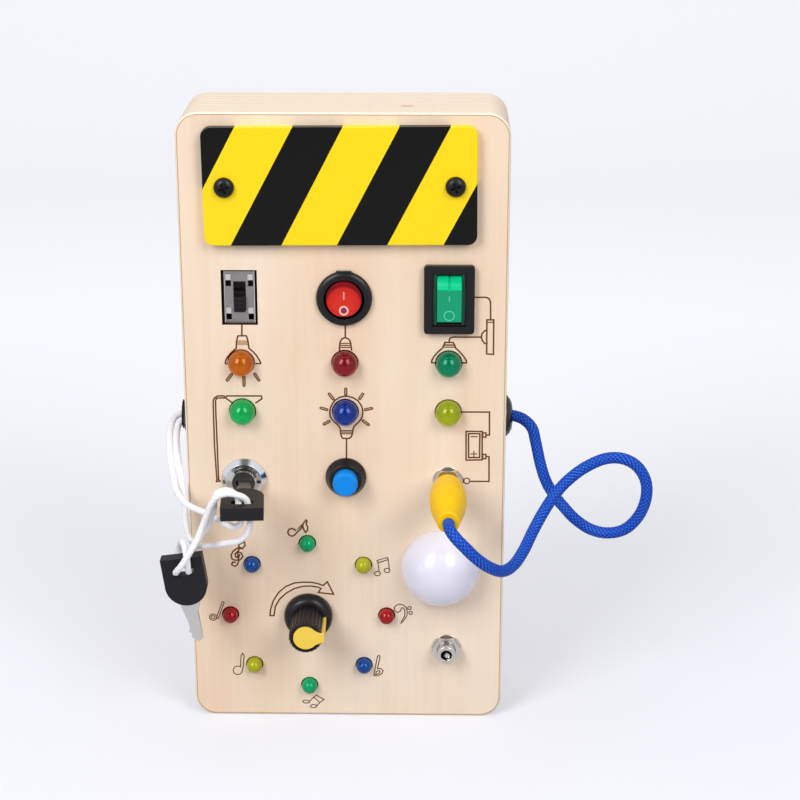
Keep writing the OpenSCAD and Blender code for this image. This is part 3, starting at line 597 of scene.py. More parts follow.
def draw_rays(*rays):
    """Short rays with round ends, hatched inside."""
    for a, b in rays:
        draw(capsule_points(a, b, 0.2), width=0)
        draw(capsule_points(a, b), width=FINE, closed=True)


# Wires and bulbs round the upper lamps. The left bulb has a cap with a thread.
draw([(-30.28, 130.8), (-32.79, 130.74), (-33.12, 129.39), (-33.31, 128.07), (-33.35, 126.75),
      (-34.19, 126.09), (-35.16, 125.09), (-36.14, 123.93), (-36.73, 122.77), (-36.91, 121.94),
      (-36.81, 121.67), (-35.58, 121.81)])
draw([(-30.28, 130.8), (-29.98, 130.31), (-29.71, 128.91), (-29.58, 127.76), (-29.45, 126.77),
      (-28.38, 125.78), (-27.31, 124.62), (-26.56, 123.3), (-25.96, 122.14), (-26.05, 121.78),
      (-27.38, 121.77)])
draw([(-32.85, 129.26), (-30.05, 129.26), (-29.9, 127.74), (-33, 127.74)], width=0)
draw([(-31.44, 134.32), (-31.53, 131.2)])
draw([(0.25, 134.4), (0.2, 130.4)])
draw([(-1.6, 126.4), (-1.5, 128.3), (-1.3, 129.2), (-0.8, 129.95), (-0.05, 130.3),
      (0.6, 130.25), (1.3, 129.8), (1.75, 129.1), (1.9, 128.3), (2.1, 126.4)])
draw([(-1.4, 128.5), (1.75, 128.5)], [(-1.4, 127.85), (1.8, 127.85)],
     [(-1.4, 127.2), (1.9, 127.2)], width=FINE)
draw_rays(((-35.06, 118.2), (-36.46, 116.36)), ((-31.26, 117.38), (-31.29, 114.62)),
          ((-27.87, 118.39), (-26.66, 116.4)))
# Bulb round the lower middle lamp, with its rays.
draw([(-1.58, 100.17), (-1.81, 101.01), (-2.44, 101.86), (-3.3, 102.62), (-4.16, 103.55),
      (-4.71, 104.73), (-4.85, 105.91), (-4.67, 107.26), (-4.1, 108.61), (-3.13, 109.88),
      (-1.85, 110.81), (-0.42, 111.23), (1, 111.24), (2.42, 110.82), (3.84, 109.9),
      (4.78, 108.64), (5.32, 107.3), (5.47, 105.78), (5.14, 104.26), (4.41, 103.07),
      (3.45, 102.14), (2.65, 101.2), (2.32, 100.18)],
     [(-1.58, 100.17), (-1.52, 98.81), (-1.21, 97.79), (-0.82, 97.28), (1.17, 97.28),
      (1.74, 97.8), (2.15, 98.82), (2.32, 100.18)], [(0.3, 97.28), (0.22, 89.92)])
for z in (99.88, 99.38, 98.84):
    draw([(-1.5, z), (2.25, z)], width=FINE)
draw_rays(((0.21, 113.66), (0.18, 111.9)), ((-4.92, 111.97), (-3.7, 110.3)),
          ((5.44, 112.01), (4.5, 110.5)), ((-7.53, 107.34), (-5.75, 106.8)),
          ((6.25, 106.85), (8.18, 107.31)), ((-6.65, 102.01), (-5.1, 102.93)),
          ((5.5, 103.2), (7.19, 101.9)))
# Street lamp beside the lower left lamp.
draw([(-40.69, 82.46), (-41.09, 94.83), (-41.06, 107.57), (-40.99, 109.67), (-40.57, 110.52),
      (-39.55, 111.15), (-37.57, 111.16), (-37.19, 110.63)],
     [(-40.16, 83.22), (-40.22, 93.76), (-40.34, 105.46), (-40.3, 109.68), (-39.87, 110.42),
      (-37.59, 110.53)], [(-40.89, 82.52), (-39.72, 82.66), (-40.2, 83.3)],
     [(-34.87, 108.75), (-37.19, 110.53), (-36.68, 111.16), (-25.98, 111.2),
      (-25.9, 110.26), (-27.72, 108.99)])
# Shade lamp over the upper right lamp, with its tube and wire.
draw([(39.62, 143.44), (43.19, 143.45), (44.07, 143.04), (44.57, 142.04), (44.69, 136.5)],
     [(43.59, 132.96), (42.8, 132.68), (42.11, 131.76), (41.95, 130.74), (42.23, 129.63),
      (42.85, 128.8), (43.65, 128.53)],
     [(41.86, 130.74), (33.16, 130.71), (32.37, 130.34), (32.11, 129.69), (32.11, 129.1)],
     [(30.44, 128.11), (30.1, 127.19), (28.6, 125.79), (27.38, 124.3), (26.76, 122.99),
      (26.76, 122.34), (27.91, 122.34)],
     [(33.79, 128.13), (34.06, 127.2), (35.31, 126), (36.55, 124.51), (37.45, 123.03),
      (37.45, 122.38), (36.22, 122.37)])
draw([(43.55, 136.27), (45.65, 136.28), (45.72, 125.16), (43.63, 125.34)],
     [(30.79, 128.95), (33.26, 128.96), (33.79, 128.13), (30.44, 128.11)], closed=True)
draw([(43.73, 135.5), (45.52, 135.5)], [(30.2, 127.45), (34.0, 127.46)], width=FINE)
# Battery between the lower right lamp and the jacks, with its two poles and wires.
draw([(36.29, 106.27), (44.79, 106.3), (44.89, 98.68), (43.96, 98.68)],
     [(44.05, 91.54), (44.86, 91.44), (44.97, 83.12), (39.11, 83.09)])
draw([(42.79, 99.4), (43.77, 99.4), (43.79, 97.97), (42.81, 97.96)],
     [(42.88, 92.2), (43.86, 92.21), (43.88, 90.76), (42.89, 90.76)],
     [(37.6, 99.86), (42.61, 99.88), (42.72, 90.37), (37.69, 90.25)],
     [(38.36, 99.1), (41.9, 99.11), (41.9, 91.14), (38.49, 91.13)], closed=True)
draw([(39.14, 98.1), (41.11, 98.11)], [(39.2, 92.32), (40.99, 92.33)],
     [(40.12, 93.25), (40.14, 91.33)], width=FINE)
draw(ring_points(37.99, 83.22, 0.95), width=FINE, closed=True)
draw([(29.52, 86.74), (30.78, 87.33), (32.22, 87.43), (33.67, 86.95), (35.3, 85.7),
      (36.57, 84.15), (37.1, 82.79)], width=0.6)
# Musical signs beside the dome and the dial.
draw([(-15.98, 65.68), (-16.54, 66.31), (-17.5, 66.62), (-18.38, 66.19), (-18.68, 65.25),
      (-18.32, 64.31), (-17.36, 63.89), (-16.39, 64.42), (-15.79, 65.26), (-15.01, 65.9),
      (-14.22, 66.84), (-13.83, 67.37), (-13.65, 66.32), (-13, 65.28), (-12.4, 66.12),
      (-12.29, 67.16), (-12.76, 67.89), (-12.54, 69.25), (-12.82, 69.56), (-13.61, 68.41),
      (-14.6, 67.26)],
     [(-32.57, 61.82), (-34.34, 60.97), (-34.46, 60.13), (-33.31, 59.5), (-32.41, 60.56)],
     closed=True)
draw([(-33.31, 59.5), (-34.86, 59.6), (-36.24, 58.64), (-36.97, 57.16), (-36.71, 55.89),
      (-35.57, 55.37), (-34, 55.69), (-33.2, 56.76), (-33.74, 58.02), (-34.89, 58.44),
      (-35.69, 57.59), (-35.43, 56.53), (-34.47, 56.43), (-34.25, 57.39)],
     [(-34.28, 59.5), (-34.81, 57.81), (-34.85, 56.54), (-34.5, 55.27), (-35.13, 53.78),
      (-35.92, 53.25), (-36.87, 53.88), (-36.55, 54.83), (-35.78, 54.63)])
draw([(9.71, 55.7), (13, 56.76), (13.26, 56.01), (9.97, 54.85)],
     ring_points(9.77, 51.09, 0.95, 0.75), ring_points(12.85, 52.21, 0.9, 0.75),
     [(17.56, 39.04), (17.12, 37.88), (16.07, 37.4), (15.29, 38.07), (15.2, 39.22),
      (15.9, 40), (16.95, 40.39), (18.17, 40.01), (19.05, 39.05), (19.39, 37.7),
      (19.22, 36.35), (18.52, 35), (17.82, 34.02), (17.29, 33.54), (17.64, 34.6),
      (18.34, 35.77), (18.61, 37.12), (18.52, 38.28), (18, 39.05)],
     ring_points(20.06, 39.02, 0.55), ring_points(20.41, 37.29, 0.55),
     ring_points(-43.42, 35.26, 1.15), ring_points(-43.42, 35.26, 0.6),
     capsule_points((-42.03, 35.06), (-40, 40.49), 0.32),
     [(-35.02, 17.42), (-34.71, 21.49), (-34.22, 22.32), (-33.72, 21.49), (-34.13, 17.74),
      (-34.61, 15.44), (-35.38, 14.7), (-36.32, 14.59), (-37.24, 15.22), (-37.49, 16.26),
      (-36.99, 17.31), (-36.04, 17.73)],
     [(8.48, 14.61), (9.66, 21.57), (10.18, 22.03), (10.53, 21.46), (9.64, 17.06),
      (10.57, 17.3), (11.5, 16.49), (11.08, 15.33), (9.83, 14.51)],
     [(9.32, 16.13), (10.26, 16.48), (10.56, 15.9), (9.83, 15.2), (9.1, 14.97)],
     [(-11.33, 6.55), (-10.38, 7.26), (-7.9, 5.71), (-9.27, 4.57)],
     ring_points(-13.77, 4.89, 1.1, 0.55), ring_points(-11.39, 3.22, 1.0, 0.6),
     width=0.34, closed=True)
draw([(9.97, 54.85), (10.3, 52.01)], [(13.26, 56.01), (13.54, 52.79)],
     [(-11.33, 6.55), (-12.62, 5.02)], [(-9.27, 4.57), (-10.45, 3.27)], width=0.34)
# Arrow that bends over the dial.
draw([(-24.98, 35.92), (-24.76, 38.14), (-23.79, 41.23), (-22.08, 44.13), (-19.73, 46.3),
      (-16.92, 47.58), (-14.29, 47.9), (-11.67, 47.87), (-9.38, 47.44), (-7.59, 46.76),
      (-7.01, 47.45), (-6.29, 48.08), (-4.35, 43.68), (-9.27, 44.29), (-8.34, 45.73),
      (-9.4, 46.18), (-11.69, 46.56), (-14.32, 46.42), (-16.96, 45.6), (-19.62, 43.96),
      (-21.8, 41.78), (-23.17, 39.24), (-23.71, 35.96)], closed=True)

# Lines whose surroundings don't overlap are cut together, so the panel is cut few times.
groups = []
for points, width, closed in drawn:
    p = np.array(points)
    low, high = p.min(0) - width, p.max(0) + width
    for group in groups:
        if all((low > h).any() or (high < l).any() for l, h, _ in group):
            group.append((low, high, burnt_line(points, width, closed)))
            break
    else:
        groups.append([(low, high, burnt_line(points, width, closed))])


def cut(piece, cutter):
    """Cuts the cutter out of a piece, and removes it."""
    tool = piece.modifiers.new("cut", "BOOLEAN")
    tool.operation, tool.solver, tool.object = "DIFFERENCE", "MANIFOLD", cutter
    bpy.context.view_layer.update()
    whole = piece.evaluated_get(bpy.context.evaluated_depsgraph_get())
    mesh = bpy.data.meshes.new_from_object(whole)
    piece.modifiers.clear()
    piece.data = mesh
    bpy.data.objects.remove(cutter)


def ease_outline(piece, y):
    """Rounds the outer edge of a board at depth y, as sanding does."""
    with editing(piece.data) as work:
        rim = []
        for edge in work.edges:
            a, b = edge.verts[0].co / MM, edge.verts[1].co / MM
            outer = [f for f in edge.link_faces if abs(f.normal.y) < 0.5]
            if abs(a.y - y) < 0.01 and abs(b.y - y) < 0.01 and len(outer) == 1:
                x, z = (a.x + b.x) / 2, (a.z + b.z) / 2 - HALF_H
                near_rim = max(abs(x) - HALF_W, abs(z) - HALF_H) > 0.5 - CORNER
                if near_rim and outer[0].normal.x * x + outer[0].normal.z * z > 0:
                    rim.append(edge)
        bmesh.ops.bevel(work, geom=rim, offset=SANDED * MM, segments=4, profile=0.5,
                        affect="EDGES", clamp_overlap=True)
    crisp(piece.data)


def flat_faces(piece):
    """Keeps the shading of large faces flat beside small eased edges."""
    piece.modifiers.new("face_normals", "WEIGHTED_NORMAL").keep_sharp = True


def sort_faces(piece, number_of):
    """Gives each face the number of its finish, by its middle and its normal."""
    for face in piece.data.polygons:
        face.material_index = int(number_of(face.center / MM, face.normal))


panel = dressed("front_panel", "front_panel_birch")
ease_outline(panel, FRONT_Y)
for number, group in enumerate(groups):
    points, faces = [], []
    for _, _, (corners, sides) in group:
        faces += [tuple(i + len(points) for i in side) for side in sides]
        points += corners
    cut(panel, solid(f"burn_{number}", points, faces, on_front(0, 0)))
panel.data.materials.clear()
ON_FACE, ON_EDGE, IN_LINE, IN_HATCH, IN_HOLE = range(5)     # the panel's finishes


def panel_finish(middle, normal):
    depth, level = middle.y - FRONT_Y, abs(normal.y) > 0.9
    past = (max(abs(middle.x) - HALF_W + CORNER, 0),
            max(abs(middle.z - HALF_H) - HALF_H + CORNER, 0))
    if abs(normal.y) < 0.95 and math.hypot(*past) > CORNER - 1:
        return ON_EDGE
    if 0.01 < depth < BURN + 0.05:
        return IN_HATCH if level and depth < HATCH + 0.02 else IN_LINE
    return ON_FACE if level else IN_HOLE


sort_faces(panel, panel_finish)
crisp(panel.data)
flat_faces(panel)
belongs(panel, "board", [birch, ply_edge, charred, hatched, cut_wall], ["front_panel"])

for node, eased, slot in (("front_frame", None, "ply_core"), ("rear_frame", None, "ply_core"),
                          ("back_panel", 16, "ply_face")):
    board = dressed(node, node + "_birch")
    if eased:
        ease_outline(board, eased)
    sort_faces(board, lambda middle, normal: abs(normal.y) <= 0.9)
    flat_faces(board)
    belongs(board, "board", [birch, ply_edge], [node])

zinc = new_finish("zinc_plated_steel", "#B9BCC0", 0.32, gloss=(900, 3, 0.24, 0.42),
                  Metallic=1.0)
kept("back_screws", zinc)

# ---- striped plate -----------------------------------------------------------------
# A 3 mm acrylic plate over the battery bay, yellow with slanting black stripes, bare
# otherwise. Two domed black screws hold it.
PLATE_W, PLATE_H, PLATE_T, PLATE_R = 82, 36, 3, 2.8
PLATE_X, PLATE_Z, PLATE_TURN = -0.9, 178.3, 0.4
stripe_ends = [(-31.8, -50.9), (-14.7, -33.8), (0.1, -18.6), (16.8, -2.0), (31.9, 13.1),
               (48.9, 29.9)]    # each line's x at the plate's top and bottom edge


def rounded_rectangle(w, h, r, steps=8):
    """Outline of a rectangle with round corners, once round."""
    corners = []
    for cx, cy, start in ((w / 2 - r, h / 2 - r, 0), (r - w / 2, h / 2 - r, 90),
                          (r - w / 2, r - h / 2, 180), (w / 2 - r, r - h / 2, 270)):
        corners += [(cx + r * math.cos(math.radians(start + a)),
                     cy + r * math.sin(math.radians(start + a)))
                    for a in np.linspace(0, 90, steps + 1)]
    return corners


def slab(name, outline, low, high, place, ease=0.0):
    """A flat piece of that outline, with its front edge rounded by ease."""
    outline = np.array(outline, float)
    rings = [(outline, low), (outline, high - ease)]
    if ease:
        before, after = np.roll(outline, 1, 0), np.roll(outline, -1, 0)
        along = unit(after - outline) + unit(outline - before)
        inward = np.stack([-along[:, 1], along[:, 0]], 1)
        inward *= (2 / np.maximum(np.linalg.norm(inward, axis=1), 0.8) ** 2)[:, None]
        if ((outline.mean(0) - outline) * inward).sum() < 0:
            inward = -inward
        for a in np.radians((30, 60, 90)):
            rings.append((outline + inward * ease * (1 - math.cos(a)),
                          high - ease * (1 - math.sin(a))))
    return solid(name, [(*q, d) for ring, d in rings for q in ring],
                 tube_faces(len(rings), len(outline)), place)


plate = slab("striped_plate_acrylic", rounded_rectangle(PLATE_W, PLATE_H, PLATE_R), 0,
             PLATE_T, on_front(PLATE_X, PLATE_Z, PLATE_TURN), 0.35)
low_z = PLATE_Z - PLATE_H / 2
with editing(plate.data) as work:
    for top, bottom in stripe_ends:
        a = Vector((top, FRONT_Y, low_z + PLATE_H)) * MM
        b = Vector((bottom, FRONT_Y, low_z)) * MM
        across = Vector((0, 1, 0)).cross(a - b).normalized()
        bmesh.ops.bisect_plane(work, geom=work.verts[:] + work.edges[:] + work.faces[:],
                               plane_co=a, plane_no=across, dist=1e-7)
# The stripes are black by turns, from the first one on.
sort_faces(plate, lambda middle, normal: sum(
    middle.x > bottom + (top - bottom) * (middle.z - low_z) / PLATE_H
    for top, bottom in stripe_ends) % 2 == 0)
crisp(plate.data)
flat_faces(plate)
# Extruded acrylic, printed: even colour, smooth, with faint waviness in its gloss.
WAVY = (160, 1, 0.05, 0.2)
yellow_acrylic = new_finish("acrylic_yellow", "#F9D60F", 0.24, WAVY, Specular_IOR_Level=0.25)
black_acrylic = new_finish("acrylic_black", "#0C0C0A", 0.24, WAVY, Specular_IOR_Level=0.16)
belongs(plate, "board", [yellow_acrylic, black_acrylic], ["striped_plate"])

black_steel = new_finish("black_oxide_steel", "#1B1A1D", 0.33, Metallic=0.6)
dress("plate_screws", "plate_screws_black", "board", black_steel, "black_screw", 40, 0.12)

# ---- battery bay -------------------------------------------------------------------
# Moulded tray behind the plate with two dry cells side by side. Hidden in use.
black_abs = new_finish("moulded_abs_black", "#110F12", 0.32, (3500, 2, 0.1, 0.04),
                       Specular_IOR_Level=0.3)
cell_sleeve = new_finish("printed_cell_sleeve", "#C8692C", 0.3)
kept("battery_tray", black_abs)
kept("battery_cells", cell_sleeve)
kept("battery_contacts", zinc)

# ---- slide switch ------------------------------------------------------------------
# A stock slide switch set back in its window: a folded sheet-steel can with four tongues
# clenched over its base board, and a ribbed black thumb piece.
ROW_Z = 143                     # height of the three switches
sheet_nickel = new_finish("nickel_plated_sheet", "#A3A19F", 0.34, gloss=(700, 3, 0.22, 0.4),
                          Metallic=1.0)
# The can's face is tarnished and mottled; its clenched tongues get the bright plating, a
# painted highlight where they catch the light.
tarnished = new_finish("nickel_plated_sheet_tarnished", "#86817F", 0.42, Metallic=1.0)
ramp(tarnished, noise(tarnished, 1500, 3).outputs[0], (0.35, "#3E3A3B"), (0.65, "#CFC8C4"))
can = dressed("slide_switch_can", "slide_switch_can_sheet", 35, 0.42, 3)
TONGUES_Y = -14.7               # faces in front of this are the tongues
sort_faces(can, lambda middle, normal: middle.y < TONGUES_Y)
belongs(can, "board", [tarnished, bright_nickel], ["slide_switch_can"])


def oblong(x0, x1, y0, y1):
    return [(x0, y0), (x1, y0), (x1, y1), (x0, y1)]


# The window is charred where the laser went round it, and shows as a black edge: slabs of
# soot black along its left, right and top, which are partly soot and partly painted shade
# in the gap. The can's folded edges catch the light just inside it.
soot_and_shade = new_finish("laser_soot_and_painted_shade", "#0E0907", 0.8, Specular_IOR_Level=0.1)
for name, outline, front, finish in (
        ("window_edge_left", (-5.5, -4.75, -8.7, 8.7), -0.6, soot_and_shade),
        ("window_edge_right", (4.7, 5.5, -8.7, 8.7), -0.6, soot_and_shade),
        ("window_edge_top", (-5.5, 5.5, 8.2, 8.7), -0.6, soot_and_shade),
        ("can_fold_left", (-4.75, -4.5, -8.3, 8.2), -1.2, bright_nickel),
        ("can_fold_right", (4.42, 4.7, -8.3, 8.2), -1.2, bright_nickel)):
    belongs(slab(name, oblong(*outline), -1.5, front, on_front(-COLUMN_X, ROW_Z)), "board",
            [finish])
kept("slide_switch_base", new_finish("phenolic_paper_dark", "#1A120D", 0.5))
kept("slide_switch_pins", sheet_nickel)
dress("slide_switch_knob", "slide_switch_thumb_piece", "slide_knob", black_abs,
      "black_plastic", 35, 0.15)

# ---- rocker switches ---------------------------------------------------------------
# Two stock rockers that clip into the panel: a round one with a red key and a square one
# with a translucent green key. The keys' marks are printed in paler tints.
dress("round_switch_body", "round_switch_bezel", "board", black_abs, "black_plastic", 25, 0.12)
dress("rect_switch_body", "rect_switch_bezel", "board", black_abs, "black_plastic", 35, 0.3, 3)
red_pc = new_finish("polycarbonate_red", "#C8271C", 0.22, Specular_IOR_Level=0.3)
green_pc = new_finish("polycarbonate_green_clear", "#08A071", 0.18, Specular_IOR_Level=0.25)
# Painted light: the key's upper end wall gets this brighter copy of the green than its face,
# for the light the clear key passes to it.
green_lit_painted = new_finish("polycarbonate_green_painted_light", "#08C487", 0.18,
                       Specular_IOR_Level=0.25)
# Painted shade: the red key is darker round a disc in its middle, where the rim of the bezel
# shades it.
ramp(red_pc, round_patch(red_pc, (0, 0, 0.1421), (160, 0, 160)),
     (0.13, "#7A0710"), (0.22, "#BE231A"), (0.6, "#CC2E22"))
pink_print = new_finish("pad_print_pale_pink", "#F2B4AE", 0.5)
worn_print = new_finish("pad_print_worn_pink", "#F0907F", 0.5)
maroon_print = new_finish("pad_print_maroon", "#7E0F2C", 0.5)
mint_print = new_finish("pad_print_mint", "#4FD3A6", 0.5)
tinned = new_finish("tinned_brass", "#C9AE62", 0.35, Metallic=1.0)
SWING = math.radians(10)        # tilt of the keys at rest
HOLLOW, SUNK = 0.0445, 0.15     # rise of their faces per millimetre, from a sunk middle
RED_FACE, GREEN_FACE = 3.4, 5   # height of the faces above their pivots
INK_LOW, INK_HIGH = -0.02, 0.04     # from just inside the face to the top of the print


def on_key(x, height, swung):
    """Puts (right, up along the face, above it) on a key's face. The face is height above
    its pivot and a little hollow; swung is 1 with its upper end out and -1 with it in."""
    c, s = math.cos(SWING), swung * math.sin(SWING)

    def place(p):
        d = height - SUNK + HOLLOW * abs(p[1]) + p[2]
        return x + p[0], FRONT_Y - (d * c + p[1] * s), ROW_Z + p[1] * c - d * s
    return place


def mark_ring(name, y, outer, inner, place):
    """A printed ring of its own thin thickness."""
    n = 28
    points = [(*q, d) for r, d in ((outer, INK_LOW), (outer, INK_HIGH), (inner, INK_HIGH),
                                   (inner, INK_LOW)) for q in ring_points(0, y, r, count=n)]
    return solid(name, points, [face for k in range(4) for face in band(k, (k + 1) % 4, n)],
                 place)


def bar_mark(name, y, wide, high, place):
    return slab(name, oblong(-wide / 2, wide / 2, y - high / 2, y + high / 2), INK_LOW,
                INK_HIGH, place)


def without_pivots(key, x, half):
    """The pivots are inside the bezels, so here they end flush with the key's sides."""
    for vertex in key.data.vertices:
        vertex.co.x = max((x - half) * MM, min((x + half) * MM, vertex.co.x))
    return key


# The red key has its upper end pressed in, the green one its lower end.
belongs(without_pivots(dressed("round_rocker", "round_rocker_key", 30, 0.25, 3), 0, 5.4),
        "round_key", [red_pc], ["round_rocker"])
on_red = on_key(0, RED_FACE, -1)
belongs(bar_mark("round_mark_on", 1.05, 0.42, 2.4, on_red), "round_key", [worn_print])
belongs(mark_ring("round_mark_off", -3.45, 1.45, 0.95, on_red), "round_key", [pink_print])
belongs(slab("round_mark_off_middle", ring_points(0, -3.45, 0.95, count=24), INK_LOW, 0.03,
             on_red), "round_key", [maroon_print])
# Painted shade: the clear skirt of the green key, shaded in the well beside it, is given as
# dark green slabs.
skirt_green = new_finish("polycarbonate_green_in_shade", "#04573C", 0.25,
                         Specular_IOR_Level=0.25)
for side, sign in (("left", -1), ("right", 1)):
    bow = [(sign * (4.45 + 0.5 * math.cos(t * math.pi / 2)), 7.9 * t)
           for t in np.linspace(-1, 1, 9)]
    belongs(slab("rect_key_skirt_" + side, [(sign * 3.8, -7.9)] + bow + [(sign * 3.8, 7.9)],
                 1.15, 1.32, on_front(COLUMN_X, ROW_Z)), "board", [skirt_green])
# A mould line runs down the middle of the green key's upper end.
green_key = without_pivots(dressed("rect_rocker", "rect_rocker_key", 30), COLUMN_X, 3.7)
arc = [(r * math.cos(w), r * math.sin(w) - (GREEN_FACE - SUNK) - HOLLOW * r * math.cos(w))
       for r, turn in ((7.05, (50, 38, 26, 14, 2, -10)), (8.2, (-10, 2, 14, 26, 38, 50)))
       for w in np.radians(turn)]
n = len(arc)
on_green = on_key(COLUMN_X, GREEN_FACE, 1)
cut(green_key, solid("mould_line", [(x, *q) for x in (-0.2, 0.2) for q in arc],
                     [tuple(range(n)), tuple(range(2 * n - 1, n - 1, -1))]
                     + [(i, (i + 1) % n, n + (i + 1) % n, n + i) for i in range(n)], on_green))
green_key.data.materials.clear()
# The upward faces of the upper end take the painted light.
sort_faces(green_key, lambda middle, normal: normal.z > 0.25 and middle.z > ROW_Z)
crisp(green_key.data, 30)
rim = green_key.modifiers.new("eased_edges", "BEVEL")
rim.width, rim.segments, rim.limit_method = 0.15 * MM, 2, "ANGLE"
rim.harden_normals = True
belongs(green_key, "rect_key", [green_pc, green_lit_painted], ["rect_rocker"])
belongs(bar_mark("rect_mark_on", 2.3, 0.34, 1.9, on_green), "rect_key", [mint_print])
belongs(mark_ring("rect_mark_off", -3.35, 1.7, 1.38, on_green), "rect_key", [mint_print])
kept("rocker_terminals", tinned)

# ---- lamps -------------------------------------------------------------------------
# Light-emitting diodes pushed into their holes from behind: six of 8 mm and, round the
# dial, eight of 5 mm. Tinted epoxy, cast very smooth, so each shows a hard highlight.
LENS_OUT = 0.9          # how much further the small lenses stand out than the solids
epoxy = {}
for name, colour, shine in (
        ("orange", "#BE5A02", "#F6C088"), ("dark_red", "#7C0A14", "#F0A0A0"),
        ("dark_green", "#037A50", "#76EEC6"), ("green", "#04AC4E", "#90F6BC"),
        ("blue", "#0E2A84", "#90B0F8"), ("lime", "#9CA80C", "#E8F090"),
        ("small_green", "#07965A", "#76EEC6"), ("small_yellow", "#A8A81A", "#ECEC90"),
        ("small_red", "#98080F", "#F0A0A0"), ("small_blue", "#0C3F86", "#90B8F8"),
        ("white", "#F2F3F5", "#FFFFFF")):
    epoxy[name] = new_finish("cast_epoxy_" + name, colour, 0.09, (300, 1, 0.03, 0.2),
                             Specular_IOR_Level=0.75, Specular_Tint=shine)


def along_axis(finish, kind, axis):
    """One axis of the texture coordinates of that kind."""
    apart = add_node(finish, "ShaderNodeSeparateXYZ", {"Vector": place_on(finish, kind)})
    return apart.outputs[axis]


for colour in ("orange", "dark_red", "dark_green", "green", "blue", "lime"):
    # Painted light: the lower half of each lens is paler than the upper, for the light that
    # gathers in it.
    height = along_axis(epoxy[colour], "Generated", "Z")
    deep = np.array(shader_of(epoxy[colour]).inputs["Base Color"].default_value)
    pale, dim = [[*np.minimum(deep[:3] * part, 0.95), 1] for part in (1.5, 0.72)]
    ramp(epoxy[colour], height, (0.12, pale), (0.62, dim))
    dress("lamp_" + colour, "lamp_" + colour + "_epoxy", "board", epoxy[colour],
          "led_" + colour, 50)
for colour, slot in (("green", "led_dark_green"), ("yellow", "led_lime"),
                     ("red", "led_dark_red"), ("blue", "led_blue")):
    node = "ring_leds_" + colour
    pair = dressed(node, node + "_epoxy", 50)
    for vertex in pair.data.vertices:
        if vertex.co.y < -14.5 * MM:
            vertex.co.y -= LENS_OUT * MM
    belongs(pair, "board", [epoxy["small_" + colour]], [node])

# ---- push-button -------------------------------------------------------------------
# A stock push-button with a 12 mm thread: turned black bezel and a blue cap that a
# spring holds out.
dress("button_body", "button_bezel", "board", black_abs, "black_plastic", 25, 0.12)
blue_abs = new_finish("moulded_abs_blue", "#0486E2", 0.25, (2500, 1, 0.05, 0.04),
                      Specular_IOR_Level=0.18)
dress("button_cap", "button_cap_moulding", "button", blue_abs, "blue_plastic", 30, 0.3, 4)
kept("button_spring", zinc)
kept("button_nut", sheet_nickel)

# ---- key lock ----------------------------------------------------------------------
# A die-cast switch lock, chrome plated: bevelled flange with a groove over the top, and
# a turned core with the keyway. A green dot marks one position.
LOCK_Z = 83.4
chrome = new_finish("chrome_plate", "#D6D6D4", 0.1, gloss=(500, 2, 0.05, 0.16), Metallic=1.0)
core_metal = new_finish("turned_core_satin", "#55514F", 0.3, (2000, 1, 0.1, 0.03),
                        Metallic=1.0)


def off_axis(middle):
    """Distance of a point from the lock's axis."""
    return math.hypot(middle.x + COLUMN_X, middle.z - LOCK_Z)


# Painted shade: the groove's faces get a dark copy of the chrome, so it shows as a dark arc.
groove_shade_finish = new_finish("chrome_groove_painted_shade", "#4A4542", 0.45, Metallic=1.0)
lock = dressed("lock_body", "lock_body_chrome", 20, 0.1, 2)
sort_faces(lock, lambda middle, normal: 3.9 < off_axis(middle) < 5.5
           and 1 < FRONT_Y - middle.y < 2.35)
belongs(lock, "board", [chrome, groove_shade_finish], ["lock_body"])
# Painted shade: faces down in the keyway get a dark copy of the metal, so the keyway shows
# dark.
keyway_shade_finish = new_finish("keyway_painted_shade", "#1A1817", 0.4, Metallic=0.6)
core = dressed("lock_core", "lock_core_satin", 30, 0.1, 2)
core_front = min(vertex.co.y for vertex in core.data.vertices) / MM
sort_faces(core, lambda middle, normal: off_axis(middle) < 3.2 and middle.y > core_front + 0.2)
belongs(core, "lock_key", [core_metal, keyway_shade_finish], ["lock_core"])
green_paint = new_finish("enamel_dot_green", "#1B5A40", 0.35)
BEVEL = math.atan2(1.6, 1.45)   # slope of the flange's bevel


def on_bevel(p):
    """Puts a flat mark on the bevel at 9 o'clock, 6.25 mm out from the lock's axis."""
    c, s = math.cos(BEVEL), math.sin(BEVEL)
    return (-COLUMN_X - 6.25 + p[0] * c - p[2] * s * 0.7, FRONT_Y - 1.8 - p[0] * s - p[2] * c,
            LOCK_Z - 0.25 + p[1])


belongs(slab("lock_dot", ring_points(0, 0, 0.72, count=20), -0.3, 0.06, on_bevel), "board",
        [green_paint])
kept("lock_nut", sheet_nickel)
kept("lock_terminals", tinned)

# ---- jacks -------------------------------------------------------------------------
# Two 3.5 mm jacks with turned nickel barrels, each held by a washer and a hexagon nut.
for node, ending in (("upper_jack", "_barrel"), ("lower_jack", "_barrel"),
                     ("jack_nuts", "_nickel")):
    dress(node, node + ending, "board", bright_nickel, "nickel_sheet", 30, 0.15)

# The sprung contact glints inside the lower jack's mouth.
belongs(turned("jack_contact_spring", [(0, 1.2), (0.95, 1.2), (1.1, 1.5), (1.1, 4.3),
                                       (0.8, 4.7), (0, 4.8)], on_front(32.3, 24.3), 24),
        "board", [bright_nickel])

# ---- light dome --------------------------------------------------------------------
# Half a ball of opal plastic, 25 mm across, glued over a clear lamp whose hole is behind
# it. It spreads the light and looks slightly soft; a faint emission is painted light that
# keeps it evenly white, though its lamp is not lit.
DOME_R, DOME_WALL = 12.5, 1.2


def quarter(r):
    """Profile of a half ball of that radius, from its rim to its top."""
    return [(r * math.cos(a), r * math.sin(a))
            for a in np.radians(np.arange(0, 90, 5))] + [(0, r)]


